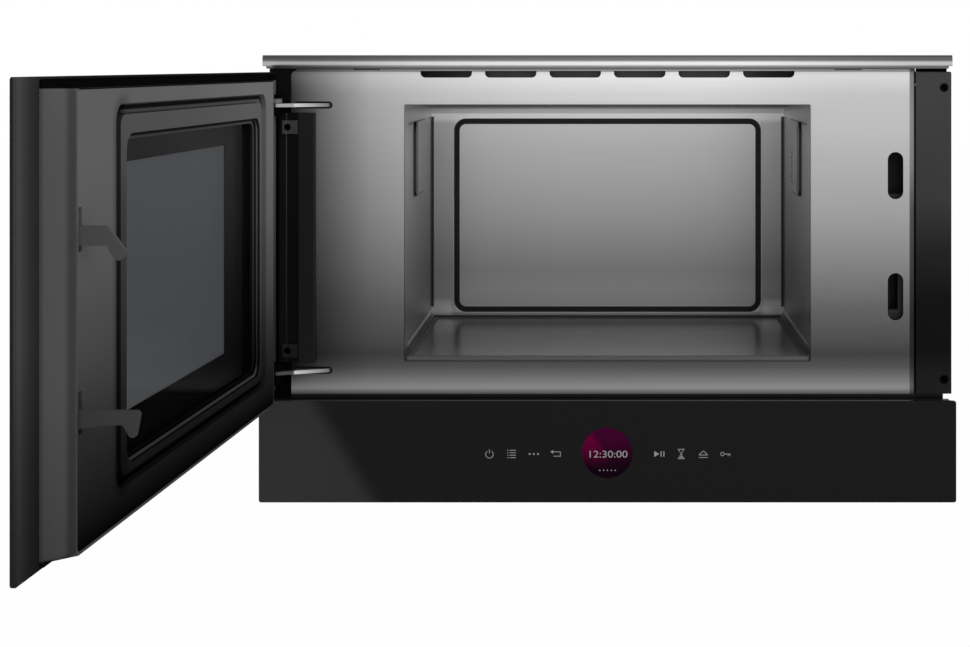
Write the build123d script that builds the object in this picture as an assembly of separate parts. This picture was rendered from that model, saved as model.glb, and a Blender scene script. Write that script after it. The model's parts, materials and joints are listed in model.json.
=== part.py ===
from build123d import *
import os
from math import atan2, cos, pi, sin

# Built-in microwave oven with a door hinged at its left side, stored with the door open.
# Millimetres. X to the right, Y from the room into the niche, Z up.
# Origin: on the niche floor, on the centre plane, midway along the depth of the casing.

# ---- driving dimensions -------------------------------------------------------------
face_width = 594.0          # door glass, control glass and top rail
rail_height = 11.6
panel_height = 86.5         # control glass
panel_lift = 3.0            # control glass above the niche floor
door_height = 278.2
door_seam = 1.8             # door glass above control glass
rail_seam = 2.9             # top rail above door glass
rail_tuck = 1.2             # steel front and trims reach this far up into the rail
glass = 3.2                 # thickness of door glass and control glass
glass_edge = 0.4            # ground edge of the glass faces
door_thickness = 21.8
door_gap = 0.7              # closed door to the steel front

casing_width = 548.0
casing_drop = 14.4          # casing top below the underside of the rail
casing_depth = 294.0
casing_sheet = 0.8
front_sheet = 1.0
front_left = -273.0
front_right = 266.2
front_roll = 4.0            # bend at the right edge of the steel front
front_corner = 4.5          # rounded upper left corner
front_return = 10.0
cabinet_setback = 3.0       # niche edge behind the face of the steel front
seat_gap = 0.3              # between pieces that only rest on each other

cavity_width = 352.0
cavity_height = 217.7       # above the ceramic floor
cavity_depth = 251.0
cavity_sheet = 0.8
floor_top = 123.3           # ceramic floor above the niche floor
ceramic = 4.0
floor_lip = 3.2             # edge of the front opening below the ceramic floor
opening_radius = 1.0
opening_lip = 1.0           # steel front inside each side wall of the cavity
seal_width = 5.0
rim_height = 8.0            # sloping foot of the cavity walls above the ceramic floor
rim_run = 3.2
rim_step = 2.0              # flat of the rail above the ceramic floor
ceiling_radius = 14.0

hinge_inset = 13.5          # hinge axis from the left edge of the closed door
hinge_depth = 7.0           # hinge axis behind the face of the closed door
open_angle = 93.4
pin_radius = 2.0
pin_clearance = 0.05
tongue = 3.0                # thickness of the hinge tongue
tongue_radius = 3.4         # eye of the tongue round the pin
tongue_clearance = 0.5
leaf_height = 7.0
upper_tongue_drop = 28.5    # below the top of the door
lower_tongue_rise = 20.7    # above the bottom of the door
hinge_slot_left = 12.6      # from the hinge axis
hinge_slot_width = 33.5
hinge_slot_height = 6.2

latch_x = 247.0
latch_width = 4.0
latch_travel = 8.0
upper_hook_reach = 27.0     # beyond the back of the door
lower_hook_reach = 35.0
upper_hook_drop = 19.5      # tip of the hook below the top of its arm
lower_hook_drop = 15.2
plunger_radius = 1.4
upper_latch_z = 280.0       # centre of the upper slot in the steel front
latch_pitch = 104.6
latch_slot_width = 13.4
latch_slot_height = 40.7
catch_travel = 7.0

vent_count = 6
vent_width = 44.4
vent_pitch = 55.7
vent_height = 5.8
vent_radius = 4.0           # lower corners of a vent
vent_drop = 2.0             # top of the vents below the rail

stirrer_radius = 92.0
well_radius = 112.0
well_depth = 20.0
shaft_radius = 3.0
lamp_depth = 150.0          # lamp holes behind the steel front
lamp_rise = 148.0           # and above the foot of the cavity wall
fan_radius = 42.0
fan_z = 250.0
fan_rim = 4.0               # housing outside the blades
fan_depth = 26.0
shaft_clearance = 0.06
hub_clearance = 5.0
fan_motor_radius = 16.0

# ---- places that follow from them ----------------------------------------------------
half_face = face_width / 2
half_casing = casing_width / 2
half_cavity = cavity_width / 2
fan_half = fan_radius + fan_rim
fan_x = half_casing - casing_sheet - fan_half - seat_gap
plate_y = -casing_depth / 2 - front_sheet
plate_back = plate_y + front_sheet
casing_back = casing_depth / 2
cabinet_y = plate_y + cabinet_setback
door_back = plate_y - door_gap
face_y = door_back - door_thickness
glass_back = face_y + glass
panel_top = panel_lift + panel_height
door_bottom = panel_top + door_seam
door_top = door_bottom + door_height
rail_bottom = door_top + rail_seam
rail_top = rail_bottom + rail_height
casing_height = rail_bottom - casing_drop
hinge_x = -half_face + hinge_inset
hinge_y = face_y + hinge_depth
ceiling = floor_top + cavity_height
cavity_back = plate_back + cavity_depth
cavity_middle = (plate_back + cavity_back) / 2
well_floor = floor_top - ceramic - well_depth
upper_tongue_z = door_top - upper_tongue_drop
lower_tongue_z = door_bottom + lower_tongue_rise
lower_latch_z = upper_latch_z - latch_pitch
upper_arm_top = upper_latch_z + 4.5
lower_arm_top = lower_latch_z + 4.3
upper_plunger_z = upper_arm_top - 16.0
lower_plunger_z = lower_arm_top - 3.6
hinge_slot_x = hinge_x + hinge_slot_left + hinge_slot_width / 2
front_bottom = door_bottom + seat_gap
front_top = rail_bottom + rail_tuck
vent_high = rail_bottom - vent_drop
cover_front = plate_y + front_return
opening_low = floor_top - floor_lip
wall_low = floor_top + rim_height
lamp_y = plate_back + lamp_depth
lamp_z = wall_low + lamp_rise


# ---- shape helpers -------------------------------------------------------------------
def block(x0, x1, y0, y1, z0, z1):
    """A box between two corners."""
    centre = Pos((x0 + x1) / 2, (y0 + y1) / 2, (z0 + z1) / 2)
    return centre * Box(abs(x1 - x0), abs(y1 - y0), abs(z1 - z0))


def upright(sketch, y0, y1):
    """A sketch in X and Z, made solid from y0 to y1."""
    return extrude(Plane.XZ.offset(-y1) * sketch, amount=y1 - y0)


def level(sketch, z0, z1):
    """A sketch in X and Y, made solid from z0 to z1."""
    return extrude(Plane.XY.offset(z0) * sketch, amount=z1 - z0)


def sideways(sketch, x0, x1):
    """A sketch in Y and Z, made solid from x0 to x1."""
    return extrude(Plane.YZ.offset(x0) * sketch, amount=x1 - x0)


def panel_shape(x0, x1, z0, z1, radius=0.0):
    """A rectangle between two corners, rounded where a radius is given."""
    width, height = x1 - x0, z1 - z0
    shape = RectangleRounded(width, height, radius) if radius else Rectangle(width, height)
    return Pos((x0 + x1) / 2, (z0 + z1) / 2) * shape


def rod_y(x, z, radius, y0, y1):
    """A round bar along Y."""
    return upright(Pos(x, z) * Circle(radius), y0, y1)


def rod_z(x, y, radius, z0, z1):
    """A round bar along Z."""
    return level(Pos(x, y) * Circle(radius), z0, z1)


def rod_x(y, z, radius, x0, x1):
    """A round bar along X."""
    return sideways(Pos(y, z) * Circle(radius), x0, x1)


def slots(x_list, z_list, width, height, y0, y1):
    """Upright stadium slots that run along X, as one cutter for a sheet in X and Z."""
    cutters = [upright(Pos(x, z) * SlotOverall(width, height), y0, y1) for x in x_list for z in z_list]
    return Part() + cutters


def spread(centre, pitch, count):
    """Evenly spaced places about a centre."""
    return [centre + pitch * (i - (count - 1) / 2) for i in range(count)]


def opened(part):
    """Turns a piece of the closed door to the stored, open position."""
    axis = Pos(hinge_x, hinge_y, 0)
    return axis * Rot(0, 0, -open_angle) * Pos(-hinge_x, -hinge_y, 0) * part


# ---- casing ------------------------------------------------------------------------
flange = 12.0
louvre_width = 34.0
louvre_height = 4.0
base_louvre_x = -150.0
base_louvre_pitch = 22.0


def make_base_plate():
    inner = half_casing - casing_sheet
    back = casing_back - casing_sheet
    tray = block(-inner, inner, plate_back, back, 0, flange)
    tray -= block(-inner + casing_sheet, inner - casing_sheet, plate_back - 1, back - casing_sheet,
                  casing_sheet, flange + 1)
    for x in spread(base_louvre_x, base_louvre_pitch, 5):
        for y in spread(0, louvre_width + 10, 3):
            louvre = Pos(x, y) * Rot(0, 0, 90) * SlotOverall(louvre_width, louvre_height)
            tray -= level(louvre, -1, casing_sheet + 1)
    return tray


def make_side_panel(side):
    outer, inner = half_casing, half_casing - casing_sheet
    back = casing_back - casing_sheet
    wall = block(inner, outer, cabinet_y, back, 0, casing_height - casing_sheet)
    lip = block(inner - flange, inner, cover_front, back, casing_height - 2 * casing_sheet,
                casing_height - casing_sheet)
    panel = wall + lip
    for y in spread(0, 46, 4):
        for z in spread(casing_height * 0.78, 12, 4):
            panel -= sideways(Pos(y, z) * SlotOverall(louvre_width, louvre_height), inner - 1, outer + 1)
    return panel if side > 0 else mirror(panel, Plane.YZ)


def make_top_cover():
    low = casing_height - casing_sheet
    cover = block(-half_casing, half_casing, cover_front, casing_back, low, casing_height)
    cover += block(front_left + 8, front_right - 8, cover_front, cover_front + casing_sheet, casing_height,
                   front_top)
    bead = Pos(0, 10) * RectangleRounded(casing_width - 120, casing_depth - 90, 20)
    cover += level(bead, casing_height, casing_height + 1.2)
    cover -= level(offset(bead, -casing_sheet), low, casing_height + 1.2 - casing_sheet)
    for x in spread(-100, 16, 9):
        cover -= level(Pos(x, 60) * Rot(0, 0, 90) * SlotOverall(louvre_width, louvre_height), low - 1,
                       casing_height + 2)
    return cover


gland_x = -200.0
gland_z = 60.0
gland_radius = 8.0
grille_radius = 3.4


def make_rear_panel():
    sheet = upright(panel_shape(-half_casing, half_casing, 0, casing_height - casing_sheet),
                    casing_back - casing_sheet, casing_back)
    sheet -= rod_y(gland_x, gland_z, gland_radius, casing_back - 3, casing_back + 3)
    for ring in (12.0, 22.0, 32.0):
        holes = int(ring / 3)
        for i in range(holes):
            turn = 2 * pi * i / holes
            sheet -= rod_y(fan_x + ring * cos(turn), fan_z + ring * sin(turn), grille_radius, casing_back - 3,
                           casing_back + 3)
    sheet -= slots(spread(-120, 44, 4), spread(casing_height * 0.7, 12, 6), louvre_width, louvre_height,
                   casing_back - 3, casing_back + 3)
    return sheet


# ---- steel front, rail and side trims -------------------------------------------------
def make_front_frame():
    outer = block(front_left, front_right, plate_y, plate_y + front_return, front_bottom, front_top)
    right_edge = outer.edges().filter_by(Axis.Z).group_by(Axis.X)[-1].sort_by(Axis.Y)[0]
    outer = fillet([right_edge], front_roll)
    top_edge = outer.edges().filter_by(Axis.X).group_by(Axis.Z)[-1].sort_by(Axis.Y)[0]
    outer = fillet([top_edge], 2.5)
    inside = block(front_left - 1, front_right - front_sheet, plate_back, plate_y + front_return + 1,
                   front_bottom - 1, front_top - front_sheet)
    inner_edge = inside.edges().filter_by(Axis.Z).group_by(Axis.X)[-1].sort_by(Axis.Y)[0]
    inside = fillet([inner_edge], front_roll - front_sheet)
    frame = outer - inside
    opening = panel_shape(-half_cavity + opening_lip, half_cavity - opening_lip, opening_low, ceiling,
                          opening_radius)
    frame -= upright(opening, plate_y - 1, plate_back + 1)
    corner_x, corner_z = front_left + front_corner, rail_bottom - 1.6 - front_corner
    frame -= block(front_left - 1, corner_x, plate_y - 1, plate_y + front_return + 1, corner_z,
                   front_top + 1)
    frame += rod_y(corner_x, corner_z, front_corner, plate_y, plate_back)
    for z in (upper_latch_z, lower_latch_z):
        latch_slot = Pos(latch_x + 1.7, z) * Rot(0, 0, 90) * SlotOverall(latch_slot_height, latch_slot_width)
        frame -= upright(latch_slot, plate_y - 1, plate_back + 1)
    for z in (upper_tongue_z, lower_tongue_z):
        frame -= upright(Pos(hinge_slot_x, z) * SlotOverall(hinge_slot_width, hinge_slot_height),
                         plate_y - 1, plate_back + 1)
    for z in (left_screw_top, left_screw_top - left_screw_pitch):
        frame -= rod_y(left_screw_x, z, cabinet_screw_radius, plate_y - 1, plate_back + 1)
    for x in spread(0, vent_pitch, vent_count):
        vent = panel_shape(x - vent_width / 2, x + vent_width / 2, vent_high - vent_height, vent_high + 6,
                           vent_radius)
        vent -= panel_shape(x - vent_width, x + vent_width, vent_high, vent_high + 8)
        frame -= upright(vent, plate_y - 1, plate_back + 1)
    return frame


rail_setback = 5.1          # rail stands this far in front of the steel front
rail_lip = 2.1              # recessed lower lip
rail_end = 2.8              # the lip stops this far from each end
rail_nose_radius = 3.0


def make_top_rail():
    front = plate_y - rail_setback
    y1 = cabinet_y
    nose_low = rail_bottom + rail_lip
    with BuildSketch() as profile:
        with BuildLine():
            Polyline((front, nose_low), (front, rail_top), (y1, rail_top), (y1, rail_bottom),
                     (front + 3, rail_bottom), (front + 2, nose_low), (front, nose_low))
        make_face()
    rail = sideways(profile.sketch, -half_face, half_face)
    nose = rail.edges().filter_by(Axis.X).group_by(Axis.Y)[0].sort_by(Axis.Z)
    rail = fillet([nose[-1]], rail_nose_radius)
    nose = rail.edges().filter_by(Axis.X).group_by(Axis.Y)[0].sort_by(Axis.Z)
    rail = fillet([nose[0]], rail_nose_radius / 2)
    core = block(-half_face + 2, half_face - 2, front + 4.5, y1 - 1.5, rail_bottom + 3.4,
                 rail_top - 1.5)
    rail -= core
    rail -= block(-half_face + rail_end, half_face - rail_end, plate_y - 0.3, y1 + 1, rail_bottom - 1,
                  front_top + 0.5)
    for side in (-1, 1):
        rail -= block(side * (half_face - rail_end), side * (half_face + 1), front - 1, y1 + 1,
                      rail_bottom - 1, nose_low)
    for x in (-half_face + 89, half_face - 89):
        rail -= block(x - 12.5, x + 12.5, front + 4, front + 6.5, rail_bottom - 1, rail_bottom + 1.2)
    return rail


column_gap = 0.2            # between a column and the steel front
column_foot = 8.0           # columns reach this far down behind the control glass
cabinet_screw_radius = 3.0
right_screw_x = half_face - 6.3
left_screw_x = hinge_x + 8.1
right_screw_top = rail_bottom - 16.4
right_screw_pitch = 252.0
left_screw_top = door_top - 47.5
left_screw_pitch = 192.3
column_top = rail_bottom - 2.6  # face of the right column


def make_right_column():
    x0, x1 = front_right + column_gap, half_face
    low, high = front_bottom, column_top
    column = block(x0, x1, plate_y + 0.3, cabinet_y, low, high)
    corner = column.edges().filter_by(Axis.Y).group_by(Axis.X)[-1].sort_by(Axis.Z)[-1]
    column = fillet([corner], 1.5)
    column += block(x0, right_screw_x - 1, plate_y + 0.3, cabinet_y, panel_top - column_foot, low)
    column += block(x0, x1 - 3.8, plate_y + 1.5, cabinet_y, high, front_top)
    column += block(x0, x0 + 2.5, cabinet_y, plate_y + front_return, casing_height + 1, high)
    for z in (right_screw_top, right_screw_top - right_screw_pitch):
        column -= rod_y(right_screw_x, z, cabinet_screw_radius, plate_y - 1, cabinet_y + 1)
    return column


def make_left_column():
    x1 = front_left - column_gap
    column = block(-half_face + 5.2, x1, plate_y, cabinet_y, panel_top - column_foot, front_top)
    column -= upright(panel_shape(-half_face + 7.2, hinge_x - 4, front_bottom + 8, rail_bottom - 13.4, 1),
                      plate_y - 1, plate_y + 1.6)
    corner_x = front_left + front_corner
    column += block(x1 - 0.8, corner_x + 1, plate_back + 0.3, plate_back + 1.3, front_top - 9, front_top - 1.5)
    column += block(x1 - 0.8, corner_x - 0.2, plate_back + 0.3, plate_back + 1.3, front_top - 2, front_top)
    for z in (left_screw_top, left_screw_top - left_screw_pitch):
        column -= rod_y(left_screw_x, z, cabinet_screw_radius, plate_y - 1, cabinet_y + 1)
    return column


cover_left = hinge_x + 0.6
cover_right = hinge_x + 31.9
cover_ridge = hinge_x + 17.0    # the proud strip starts here
cover_depth = 8.0
cover_wing = 4.0
cover_low = lower_tongue_z + 7.4
cover_high = upper_tongue_z - 6.6
pad_rise = 1.2                  # face of a pad behind the face of the proud strip
pad_half = 5.8


def make_hinge_cover():
    """A proud strip beside a lower wing that carries a pad round each fixing hole."""
    y0, y1 = plate_y - cover_depth, plate_y
    cover = block(cover_ridge, cover_right, y0, y1, cover_low, cover_high)
    cover = chamfer(cover.edges().filter_by(Axis.Z).group_by(Axis.Y)[0], 1.2)
    cover += block(cover_left, cover_ridge + 1, y1 - cover_wing, y1, cover_low, cover_high)
    for z in (left_screw_top, left_screw_top - left_screw_pitch):
        cover += upright(panel_shape(left_screw_x - 4.4, cover_ridge + 0.5, z - pad_half, z + pad_half),
                         y0 + pad_rise, y1)
        cover -= rod_y(left_screw_x, z, cabinet_screw_radius, y0 - 1, y1 + 1)
    return cover


def make_crossmember():
    sheet = upright(panel_shape(front_left, front_right, 0, front_bottom), plate_y, plate_back)
    for x in spread(0, 120, 4):
        sheet -= upright(panel_shape(x - 40, x + 40, 18, 40, 4), plate_y - 1, plate_back + 1)
    return sheet


# ---- hinges ---------------------------------------------------------------------------
bracket_sheet = 2.5
bracket_height = 28.0


def make_hinge_bracket(z):
    """A flat tongue from the front slot to the pin, on an upright foot behind the steel front."""
    back = plate_back + bracket_sheet
    left, right = hinge_slot_x - hinge_slot_width / 2 + 1.5, hinge_slot_x + hinge_slot_width / 2 - 1.5
    turn_left = atan2(plate_y - hinge_y, left - hinge_x)
    turn_right = atan2(plate_y - hinge_y, right - hinge_x)
    eye_left = (hinge_x - tongue_radius * sin(turn_left), hinge_y + tongue_radius * cos(turn_left))
    eye_right = (hinge_x + tongue_radius * sin(turn_right), hinge_y - tongue_radius * cos(turn_right))
    with BuildSketch() as blade:
        with BuildLine():
            Polyline(eye_left, (left, plate_y), (left, back), (right, back), (right, plate_y), eye_right,
                     eye_left)
        make_face()
        with Locations((hinge_x, hinge_y)):
            Circle(tongue_radius)
            Circle(pin_radius, mode=Mode.SUBTRACT)
    blade_solid = level(blade.sketch, z - tongue / 2, z + tongue / 2)
    foot = upright(panel_shape(left - 3, right + 3, z - bracket_height / 2, z + bracket_height / 2, 3),
                   plate_back, back)
    for dz in (-bracket_height / 2 + 6, bracket_height / 2 - 6):
        foot -= rod_y((left + right) / 2, z + dz, 2.2, plate_back - 1, back + 1)
    return blade_solid + foot


def make_hinge_pin(z):
    return rod_z(hinge_x, hinge_y, pin_radius, z - tongue / 2 - leaf_height, z + tongue / 2 + leaf_height)


block_left = 6.0
block_right = 22.0


def make_hinge_block(z):
    """Two leaves on the door that turn on the pin, above and below the fixed tongue."""
    half_gap = tongue / 2 + tongue_clearance
    high = half_gap + leaf_height
    front, seat = glass_back + 0.2, glass_back + 2.0
    x0, x1 = hinge_x - block_left, hinge_x + block_right
    body = block(x0, x1, front, seat, z - high, z + high)
    leaf = block(x0, hinge_x + 8, front, hinge_y + 4.5, z - high, z + high)
    leaf = fillet(leaf.edges().filter_by(Axis.Z).group_by(Axis.Y)[-1], 3.0)
    body += leaf
    body -= block(x0 - 1, hinge_x + 8.2, front - 1, hinge_y + 6, z - half_gap, z + half_gap)
    body -= rod_z(hinge_x, hinge_y, pin_radius + pin_clearance, z - high - 1, z + high + 1)
    return opened(body)


# ---- cavity ----------------------------------------------------------------------------
panel_emboss = 2.0          # a panel pressed into the cavity
emboss_front = plate_back + 84.6
emboss_depth = 104.0


def make_cavity_side(side):
    x0, x1 = half_cavity, half_cavity + cavity_sheet
    wall = block(x0, x1, plate_back, cavity_back, wall_low, ceiling + cavity_sheet)
    emboss = panel_shape(emboss_front, emboss_front + emboss_depth, lamp_z - 23.6, ceiling - 17.4,
                         9)
    wall += sideways(emboss, x0 - panel_emboss, x0)
    wall -= sideways(offset(emboss, -cavity_sheet), x0 - panel_emboss + cavity_sheet, x1 + 1)
    if side > 0:
        for i, z in enumerate(spread(lamp_z, 4.4, 7)):
            y = lamp_y + (3 if i % 2 else -3)
            wall -= sideways(Pos(y, z) * SlotOverall(9.0, 2.8), x0 - 3, x1 + 1)
        return wall
    return mirror(wall, Plane.YZ)


groove_outer_width = 306.6
groove_height = 193.3
groove_low = 5.3            # above the ceramic floor
groove_width = 5.6
groove_depth = 2.0
groove_radius = 12.0


def make_cavity_back():
    y0, y1 = cavity_back, cavity_back + cavity_sheet
    sheet = upright(panel_shape(-half_cavity - cavity_sheet, half_cavity + cavity_sheet, floor_top - ceramic,
                                ceiling - ceiling_radius), y0, y1)
    low = floor_top + groove_low
    outer = panel_shape(-groove_outer_width / 2, groove_outer_width / 2, low, low + groove_height,
                        groove_radius)
    ring = outer - offset(outer, -groove_width)
    sheet += upright(ring, y1, y1 + groove_depth)
    sheet -= upright(offset(outer, -cavity_sheet) - offset(outer, -groove_width + cavity_sheet), y0 - 1,
                     y1 + groove_depth - cavity_sheet)
    return sheet


def make_cavity_ceiling():
    x1 = half_cavity
    flat = block(-x1, x1, plate_back, cavity_back - ceiling_radius, ceiling, ceiling + cavity_sheet)
    ring = Circle(ceiling_radius + cavity_sheet) - Circle(ceiling_radius)
    quarter = ring & Pos(ceiling_radius, ceiling_radius) * Rectangle(2 * ceiling_radius, 2 * ceiling_radius)
    bend = sideways(Pos(cavity_back - ceiling_radius, ceiling - ceiling_radius) * quarter, -x1, x1)
    return flat + bend


def make_floor_pan():
    """The pan under the ceramic floor, with a round well for the stirrer."""
    rest = floor_top - ceramic
    x1 = half_cavity + cavity_sheet
    pan = block(-x1, x1, plate_back, cavity_back, rest - cavity_sheet, rest)
    pan -= rod_z(0, cavity_middle, well_radius, rest - 5, rest + 1)
    cup = rod_z(0, cavity_middle, well_radius + cavity_sheet, rest - well_depth, rest - cavity_sheet)
    cup -= rod_z(0, cavity_middle, well_radius, rest - well_depth + cavity_sheet, rest + 1)
    cup -= rod_z(0, cavity_middle, shaft_radius + hub_clearance, rest - well_depth - 1, rest)
    return pan + cup


def make_floor_rail(side):
    """The sloping rail that joins the pan to a side wall."""
    rest = floor_top - ceramic
    foot, top = half_cavity - rim_run, half_cavity
    outer = half_cavity + cavity_sheet
    step = rim_step
    with BuildSketch() as profile:
        with BuildLine():
            Polyline((foot, rest), (foot, floor_top + step), (foot + rim_run / 2, floor_top + step),
                     (top, wall_low), (outer, wall_low), (outer, rest), (foot, rest))
        make_face()
    rail = upright(profile.sketch, plate_back, cavity_back)
    return rail if side > 0 else mirror(rail, Plane.YZ)


def make_ceramic_floor():
    half = half_cavity - rim_run - seal_width
    plate = Pos(0, cavity_middle) * RectangleRounded(2 * half, cavity_depth - 2 * seal_width, 6)
    return level(plate, floor_top - ceramic, floor_top)


def make_floor_seal():
    outer_half = half_cavity - rim_run
    inner_half = outer_half - seal_width
    outer = Pos(0, cavity_middle) * Rectangle(2 * outer_half, cavity_depth - 0.2)
    inner = Pos(0, cavity_middle) * RectangleRounded(2 * inner_half, cavity_depth - 2 * seal_width, 6)
    return level(outer - inner, floor_top - ceramic, floor_top + 0.4)


# ---- microwave system -------------------------------------------------------------------
guide_height = 34.0
guide_width = 78.0
guide_sheet = 1.0
guide_left = -48.0
magnetron_x = 190.0
magnetron_half = 38.0
antenna_radius = 8.0
magnetron_length = 70.0


def make_waveguide():
    top = well_floor
    low = top - guide_height
    y0, y1 = cavity_middle - guide_width / 2, cavity_middle + guide_width / 2
    duct = block(guide_left, magnetron_x, y0, y1, low, top)
    duct -= block(guide_left + guide_sheet, magnetron_x - guide_sheet, y0 + guide_sheet, y1 - guide_sheet,
                  low + guide_sheet, top - guide_sheet)
    duct -= rod_z(0, cavity_middle, shaft_radius + hub_clearance, top - 2, top + 1)
    duct -= rod_z(0, cavity_middle, shaft_radius + 1, low - 1, low + 2)
    duct -= rod_x(cavity_middle, (low + top) / 2, antenna_radius + 2, magnetron_x - 2, magnetron_x + 1)
    return duct


def make_magnetron():
    y = cavity_middle
    z = well_floor - guide_height / 2
    half, length = magnetron_half, magnetron_length
    antenna = rod_x(y, z, antenna_radius, magnetron_x - 3 * antenna_radius, magnetron_x)
    body = block(magnetron_x, magnetron_x + 8, y - half, y + half, z - half + 4, z + half - 4)
    body += rod_x(y, z, half / 2, magnetron_x, magnetron_x + length - 8)
    for x in spread(magnetron_x + length / 2 - 4, 5.5, 7):
        body += block(x - 0.5, x + 0.5, y - half + 2, y + half - 2, z - half + 6, z + half - 6)
    body += block(magnetron_x + length - 16, magnetron_x + length, y - half, y + half, z - half + 4,
                  z + half - 4)
    return body + antenna


def make_stirrer():
    top = floor_top - ceramic - 4.0
    low = top - 1.5
    y = cavity_middle
    rotor = rod_z(0, y, 20, low, top)
    arm = Pos(stirrer_radius * 0.55, 0) * SlotOverall(stirrer_radius * 0.9, 34)
    for i in range(4):
        rotor += Pos(0, y) * level(Rot(0, 0, 90 * i + 20) * arm, low, top)
    for i in range(4):
        cut = Rot(0, 0, 90 * i + 20) * Pos(stirrer_radius * 0.62, 0) * SlotOverall(36, 10)
        rotor -= Pos(0, y) * level(cut, low - 1, top + 1)
    hub = rod_z(0, y, shaft_radius + 2.5, low - 9, low)
    shaft = rod_z(0, y, shaft_radius, well_floor - guide_height - 12, low)
    return rotor + hub + shaft


def make_stirrer_motor():
    top = well_floor - guide_height
    y = cavity_middle
    can = rod_z(0, y, 24, top - 16, top)
    ears = level(Pos(0, y) * SlotOverall(66, 14), top - 1.5, top)
    motor = can + ears
    motor -= rod_z(0, y, shaft_radius + shaft_clearance, top - 14, top + 1)
    return motor


def make_fan_housing():
    y1 = casing_back - casing_sheet
    y0 = y1 - fan_depth
    frame = panel_shape(fan_x - fan_half, fan_x + fan_half, fan_z - fan_half, fan_z + fan_half, 5)
    housing = upright(frame, y0, y1)
    housing -= rod_y(fan_x, fan_z, fan_radius + 2, y0 - 1, y1 + 1)
    strut_length = fan_half - fan_motor_radius + 3
    for turn in (0, 120, 240):
        strut = upright(Pos(fan_x, fan_z) * Rot(0, 0, turn) * Pos(fan_half - 1 - strut_length / 2, 0)
                        * Rectangle(strut_length, 5), y0, y0 + 3)
        housing += strut
    motor = rod_y(fan_x, fan_z, fan_motor_radius, y0, y0 + 9)
    shaft = rod_y(fan_x, fan_z, shaft_radius, y0 + 9, y0 + 23)
    return housing + motor + shaft


def make_fan_impeller():
    y0 = casing_back - casing_sheet - fan_depth + 9.5
    y1 = y0 + 14
    hub = rod_y(fan_x, fan_z, 15, y0, y1)
    hub -= rod_y(fan_x, fan_z, shaft_radius + shaft_clearance, y0 - 1, y1 + 1)
    blades = []
    for i in range(7):
        vane = block(13, fan_radius, -0.7, 0.7, -8, 8)
        vane = Rot(38, 0, 0) * vane
        vane &= block(0, fan_radius + 1, -6.4, 6.4, -20, 20)
        blades.append(Pos(fan_x, (y0 + y1) / 2, fan_z) * Rot(0, i * 360 / 7, 0) * vane)
    return hub + blades


duct_wall = 1.5
duct_depth = 32.0


def make_air_duct():
    """A shroud that leads the fan's air down and forward over the magnetron."""
    x0, x1 = magnetron_x - 2, half_casing - casing_sheet - 0.7
    y1 = casing_back - casing_sheet - fan_depth - seat_gap
    front = cavity_middle + guide_width / 2 + seat_gap
    low, high = well_floor - guide_height / 2 - 34, fan_z + fan_radius + 5
    shoulder = low + 76
    duct = block(x0, x1, y1 - duct_depth, y1, low, high)
    duct += block(x0, x1, front, y1, low, shoulder)
    duct -= block(x0 + duct_wall, x1 - duct_wall, y1 - duct_depth + duct_wall, y1 - duct_wall,
                  low + duct_wall, high - duct_wall)
    duct -= block(x0 + duct_wall, x1 - duct_wall, front - 1, y1 - duct_wall, low + duct_wall,
                  shoulder - duct_wall)
    duct -= rod_y(fan_x, fan_z, fan_radius - 4, y1 - 3, y1 + 1)
    return duct


board = 1.6
board_post = 3.0
inverter_left, inverter_right = -245.0, -95.0
inverter_front, inverter_back = -10.0, 110.0
inverter_rise = 5.0
core_width, core_depth, core_height = 55.0, 52.0, 38.4
coil_overhang = 6.0
fin_height = 42.0
fin_pitch = 5.0
can_radius = 9.0
can_height = 30.0


def make_inverter():
    """The power board: transformer, finned heat sink and capacitors."""
    z0 = casing_sheet + inverter_rise
    top = z0 + board
    x0, x1, y0, y1 = inverter_left, inverter_right, inverter_front, inverter_back
    plate = block(x0, x1, y0, y1, z0, top)
    core_x, core_y = x0 + 65, y0 + 20
    core = block(core_x, core_x + core_width, core_y, core_y + core_depth, top, top + core_height)
    coil = block(core_x + 4, core_x + core_width - 4, core_y - coil_overhang,
                 core_y + core_depth + coil_overhang, top + coil_overhang, top + core_height - coil_overhang)
    fin_front, fin_back = y0 + 10, y1 - 10
    sink = block(x0 + fin_pitch, x0 + 4 * fin_pitch, fin_front, fin_back, top, top + 6)
    for x in spread(x0 + 2.5 * fin_pitch, fin_pitch, 3):
        sink += block(x - 0.8, x + 0.8, fin_front, fin_back, top + 6, top + fin_height)
    can_y = spread(cavity_middle + 3 * fin_pitch + 56.5, 2 * can_radius + 8, 3)
    cans = [rod_z(x0 + 45, y, can_radius, top, top + can_height) for y in can_y]
    inset = 2 * board_post + 1
    legs = [rod_z(x, y, board_post, casing_sheet, z0)
            for x in (x0 + inset, x1 - inset) for y in (y0 + inset, y1 - inset)]
    return plate + core + coil + sink + cans + legs


filter_left, filter_right = -262.0, -150.0
filter_low, filter_high = 84.0, 134.0
filter_post = 5.0


def make_filter_board():
    """The mains filter: an upright board on posts, with a choke and a capacitor."""
    y1 = casing_back - casing_sheet
    seat = y1 - filter_post
    face = seat - board
    plate = block(filter_left, filter_right, face, seat, filter_low, filter_high)
    plate += block(filter_left + 12, filter_left + 40, face - 17.4, face, filter_low + 12, filter_high - 10)
    plate += block(filter_left + 50, filter_left + 82, face - 13.4, face, filter_low + 14, filter_high - 14)
    for x in (filter_left + filter_post, filter_right - filter_post):
        for z in (filter_low + filter_post, filter_high - filter_post):
            plate += rod_y(x, z, board_post - 0.5, seat, y1)
    return plate


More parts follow.
